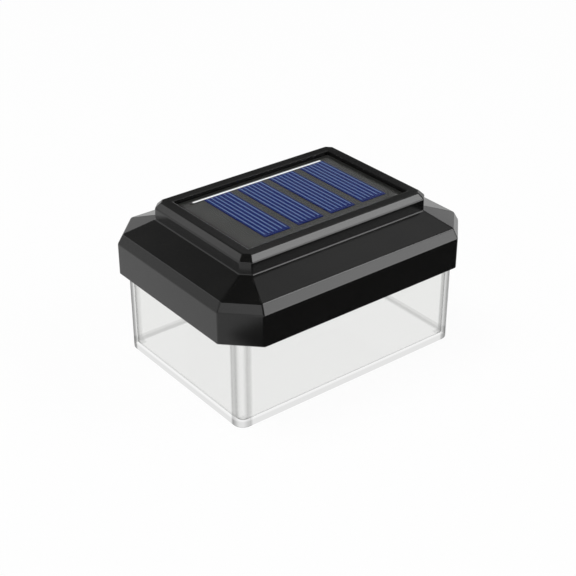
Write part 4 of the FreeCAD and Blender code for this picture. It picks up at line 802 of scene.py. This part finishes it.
def makeInductor():
    centre, radius, height = standingRound("inductor")
    flange, core, chamfer, axis = [coilShape[key] for key in ("flange", "core", "chamfer", "axis")]
    rim, bottom, depth = coilShape["dimple"]
    bobbin = [(axis, 0), (radius - chamfer, 0), (radius, chamfer), (radius, flange), (core, flange),
              (core, height - flange), (radius, height - flange), (radius, height - chamfer),
              (radius - chamfer, height), (rim, height), (bottom, height - depth), (axis, height - depth)]
    levels = np.arange(flange, height - flange - coilShape["step"] / 2, coilShape["step"])
    wires = np.abs(np.sin(np.pi * (levels - flange) / coilShape["wire"]))
    outside = np.stack([coilShape["winding"] + coilShape["ripple"] * wires, levels], axis=-1)
    inner, gap = coilShape["inner"], coilShape["step"]
    winding = np.vstack([[(inner, flange + gap)], outside, [(inner, height - flange - gap)]])
    piece = addPiece("inductor_bobbin", [turned(bobbin, centre)], chipEpoxy, "head")
    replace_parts(piece, "inductor")
    addPiece("inductor_winding", [turned(winding, centre)], copperWire, "head")


makeInductor()

# capacitor: a sleeved can with a groove near its foot, and a bare top with a cross on it
canShape = {"axis": 0.2, "foot": 0.3, "groove": 0.9, "depth": 0.25, "lip": 0.35, "lipDepth": 0.12,
            "shoulder": (0.12, 0.04), "top": [(0.4, 0.14), (0.45, 0.06)], "topAxis": (0.1, 0.05),
            "cross": {"short": 1.4, "width": 0.12, "thick": 0.06, "radius": 0.02, "down": 0.05}}


def makeCapacitor():
    centre, radius, height = standingRound("capacitor")
    axis, groove, depth, lip = [canShape[key] for key in ("axis", "groove", "depth", "lip")]
    sideways, down = canShape["shoulder"]
    sleeve = [(axis, 0), (radius - canShape["foot"], 0), (radius, depth), (radius, groove - depth),
              (radius - depth, groove), (radius, groove + depth), (radius, height - depth),
              (radius - sideways, height - down), (radius - lip, height),
              (radius - lip, height - canShape["lipDepth"]), (axis, height - canShape["lipDepth"])]
    piece = addPiece("capacitor_sleeve", [turned(sleeve, centre)], canSleeve, "head")
    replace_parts(piece, "capacitor")
    (outer, low), (inner, high) = canShape["top"]
    middle, peak = canShape["topAxis"]
    top = [(middle, height - low), (radius - outer, height - low), (radius - inner, height - high),
           (middle, height - peak)]
    cross = canShape["cross"]
    length, width, thick = 2 * radius - cross["short"], cross["width"], cross["thick"]
    place = centre[0], centre[1], centre[2] + height - cross["down"]
    bars = [softBlock((length, width, thick), place, cross["radius"]),
            softBlock((width, length, thick), place, cross["radius"])]
    addPiece("capacitor_top", [turned(top, centre)] + bars, zincPlate, "head")


makeCapacitor()

# solder joints: a low cone of solder with a wire end in it, wherever a lead or leg meets a board;
# its radius falls with the square of the way up, to the wire's
solderShape = {"radius": 0.85, "height": 0.7, "wire": 0.28, "rings": 8, "steps": 24,
               "boardTop": [(-14.5, -14), (-16, -19.5), (-18.5, -22), (27.5, -13), (-10.27, -14), (-7.73, -14),
                            (7.73, -14), (10.27, -14), (21.5, -21.5), (24, -21.5), (26.5, -21.5)],
               "panelUnder": [(-30, -2), (-30, -6)]}


def solderCone(x, y, z, upwards):
    reach = np.linspace(0, 1, solderShape["rings"])
    radius = solderShape["radius"] * (1 - reach) ** 2 + solderShape["wire"] * reach
    height = solderShape["height"] * reach
    if not upwards:
        radius, height = radius[::-1], -height[::-1]
    return turned(np.stack([radius, height], axis=-1), (x, y, z), solderShape["steps"])


boardTop = boxOf("circuit_board")[1][2]
panelUnder = boxOf("panel_board")[0][2]
joints = [solderCone(x, y, boardTop, True) for x, y in solderShape["boardTop"]]
joints += [solderCone(x, y, panelUnder, False) for x, y in solderShape["panelUnder"]]
addPiece("solder_joints", joints, solderTin, "head")

# small resistors on the board, with tinned ends
resistorShape = {"size": (2.0, 1.25, 0.55), "bodyShort": 0.7, "bodySlim": 0.05, "bodyRadius": 0.06,
                 "end": 0.4, "endRadius": 0.1,
                 "places": [(-8.0, -8.5), (-3.5, -8.5), (1.0, -8.5),
                            (-6.5, -20.5), (-1.5, -20.5), (6.0, -20.5)]}


def makeResistors():
    length, width, height = resistorShape["size"]
    bodySize = length - resistorShape["bodyShort"], width - resistorShape["bodySlim"], height
    endSize = resistorShape["end"], width, height
    shift = (length - resistorShape["end"]) / 2
    bodies, ends = [], []
    for x, y in resistorShape["places"]:
        z = boardTop + height / 2
        bodies.append(softBlock(bodySize, (x, y, z), resistorShape["bodyRadius"]))
        ends += [softBlock(endSize, (x + out * shift, y, z), resistorShape["endRadius"]) for out in (-1, 1)]
    addPiece("resistor_bodies", bodies, resistorBody, "head")
    addPiece("resistor_ends", ends, solderTin, "head")


makeResistors()
print("pieces done")


# a level rectangle that belongs to the studio, not to the object
def addCard(name, acrossX, acrossY, level, material):
    (left, right), (front, back) = acrossX, acrossY
    mesh = bpy.data.meshes.new(name)
    mesh.from_pydata([(left, front, level), (right, front, level), (right, back, level), (left, back, level)],
                     [], [(0, 1, 2, 3)])
    mesh.materials.append(material)
    card = bpy.data.objects.new(name, mesh)
    bpy.context.scene.collection.objects.link(card)
    return card


# pale floor, just under the object: the camera sees white plus its shading, gloss sees plain pale grey,
# what looks through clear plastic sees white, and from below it lets everything through
floorLook = {"color": (0.93, 0.93, 0.93, 1), "seen": 0.95, "mirrored": (0.82, 0.82, 0.82, 1), "size": 3.0,
             "level": -0.01 * mm}


def makeFloor():
    material, tree, finish = newMaterial("floorPaper")
    path = addNode(tree, "LightPath").outputs
    glossy, clear = path["Is Glossy Ray"], path["Is Transmission Ray"]  # a clear ray counts as glossy too
    seen = maths(tree, "MULTIPLY", path["Is Camera Ray"], floorLook["seen"])
    plain = maths(tree, "MAXIMUM", seen, maths(tree, "MAXIMUM", glossy, clear))
    level = mixColor(tree, maths(tree, "SUBTRACT", glossy, clear), (1, 1, 1, 1), floorLook["mirrored"])
    paper = addNode(tree, "BsdfDiffuse", {"Color": floorLook["color"]}).outputs[0]
    top = mixShader(tree, plain, paper, addNode(tree, "Emission", {"Color": level}).outputs[0])
    below = addNode(tree, "NewGeometry").outputs["Backfacing"]
    feed(tree, finish, mixShader(tree, below, top, addNode(tree, "BsdfTransparent").outputs[0]))
    half = floorLook["size"] / 2
    addCard("floor", (-half, half), (-half, half), floorLook["level"], material)


# a black card on the floor at the right front, which only gloss sees: it keeps the front skirt dark
flagLook = {"x": (-0.113, 0.32), "y": (-0.42, -0.075), "z": 0.0005}


def makeFlag():
    material, tree, finish = newMaterial("flagCloth")
    feed(tree, finish, addNode(tree, "BsdfDiffuse", {"Color": (0, 0, 0, 1)}).outputs[0])
    flag = addCard("flag", flagLook["x"], flagLook["y"], flagLook["z"], material)
    flag.visible_camera = False
    flag.visible_diffuse = False
    flag.visible_shadow = False
    flag.visible_transmission = False


# grey level by height, the sine of the elevation: pale at the horizon, a dark band from 20 to 26 degrees,
# grey above it and black overhead; the camera, and what looks through clear plastic, sees white
skyLook = [(0.0, 0.8), (0.29, 0.6), (0.35, 0.02), (0.44, 0.02), (0.475, 0.26), (0.53, 0.26), (0.73, 0.09),
           (0.95, 0.0)]


def makeWorld():
    world = bpy.data.worlds.new("studio")
    bpy.context.scene.world = world
    world.use_nodes = True
    tree = world.node_tree
    tree.nodes.clear()
    height = splitPlace(tree, addNode(tree, "TexCoord").outputs["Generated"])["Z"]
    levels = addNode(tree, "ValToRGB", {"Fac": height})
    elements = levels.color_ramp.elements
    elements[1].position = skyLook[-1][0]
    for place, level in skyLook[1:-1]:
        elements.new(place)
    for element, (place, level) in zip(elements, skyLook):
        element.color = (level, level, level, 1)
    path = addNode(tree, "LightPath").outputs
    seen = maths(tree, "MAXIMUM", path["Is Camera Ray"], path["Is Transmission Ray"])
    color = mixColor(tree, seen, levels.outputs["Color"], (1, 1, 1, 1))
    background = addNode(tree, "Background", {"Color": color})
    feed(tree, tree.nodes.new("ShaderNodeOutputWorld").inputs["Surface"], background.outputs[0])


# soft boxes that look at the object: azimuth 0 is straight in front of it and 90 at its right,
# radiance is how bright each one's face looks, and gloss doesn't see the fill from above
boxLook = [
    {"name": "frontBox", "azimuth": 38, "elevation": 15, "distance": 1.2, "size": (0.5, 0.62), "radiance": 2.9},
    {"name": "highBox", "azimuth": 46, "elevation": 44, "distance": 1.2, "size": (0.5, 0.42), "radiance": 5.0},
    {"name": "rightBox", "azimuth": 109, "elevation": 56, "distance": 1.2, "size": (0.7, 0.5), "radiance": 0.4},
    {"name": "cornerBox", "azimuth": -48, "elevation": 27, "distance": 1.1, "size": (0.36, 0.3),
     "radiance": 1.2},
    {"name": "rightLow", "azimuth": 119, "elevation": 19, "distance": 1.1, "size": (0.5, 0.22),
     "radiance": 0.9},
    {"name": "leftHigh", "azimuth": -110, "elevation": 33, "distance": 1.1, "size": (2.2, 0.36),
     "radiance": 1.0},
    {"name": "topFill", "azimuth": -120, "elevation": 70, "distance": 1.4, "size": (0.7, 0.7), "radiance": 6.5,
     "gloss": False},
]
boxAim = 0.04  # height that the soft boxes look at


def makeLamp(look):
    lamp = bpy.data.lights.new(look["name"], "AREA")
    lamp.shape = "RECTANGLE"
    lamp.size, lamp.size_y = look["size"]
    lamp.energy = look["radiance"] * math.pi * lamp.size * lamp.size_y
    item = bpy.data.objects.new(look["name"], lamp)
    turn, lift, distance = math.radians(look["azimuth"]), math.radians(look["elevation"]), look["distance"]
    item.location = (distance * math.sin(turn) * math.cos(lift), -distance * math.cos(turn) * math.cos(lift),
                     distance * math.sin(lift) + boxAim)
    item.rotation_euler = (math.pi / 2 - lift, 0, turn)
    item.visible_camera = False
    item.visible_glossy = look.get("gloss", True)
    bpy.context.scene.collection.objects.link(item)


cameraLook = {"focal": 80.877, "sensor": 36, "clip": (0.01, 20), "turn": -38.129, "dip": 29.959,
              "place": (-0.2837163, -0.3595591, 0.2891169)}


def makeCamera():
    data = bpy.data.cameras.new("camera")
    data.lens = cameraLook["focal"]
    data.sensor_width = cameraLook["sensor"]
    data.clip_start, data.clip_end = cameraLook["clip"]
    camera = bpy.data.objects.new("camera", data)
    camera.location = cameraLook["place"]
    camera.rotation_euler = (math.radians(90 - cameraLook["dip"]), 0, math.radians(cameraLook["turn"]))
    bpy.context.scene.collection.objects.link(camera)
    bpy.context.scene.camera = camera


makeFloor()
makeFlag()
makeWorld()
for oneBox in boxLook:
    makeLamp(oneBox)
makeCamera()
bpy.context.scene.view_settings.view_transform = "Standard"
print("studio done")
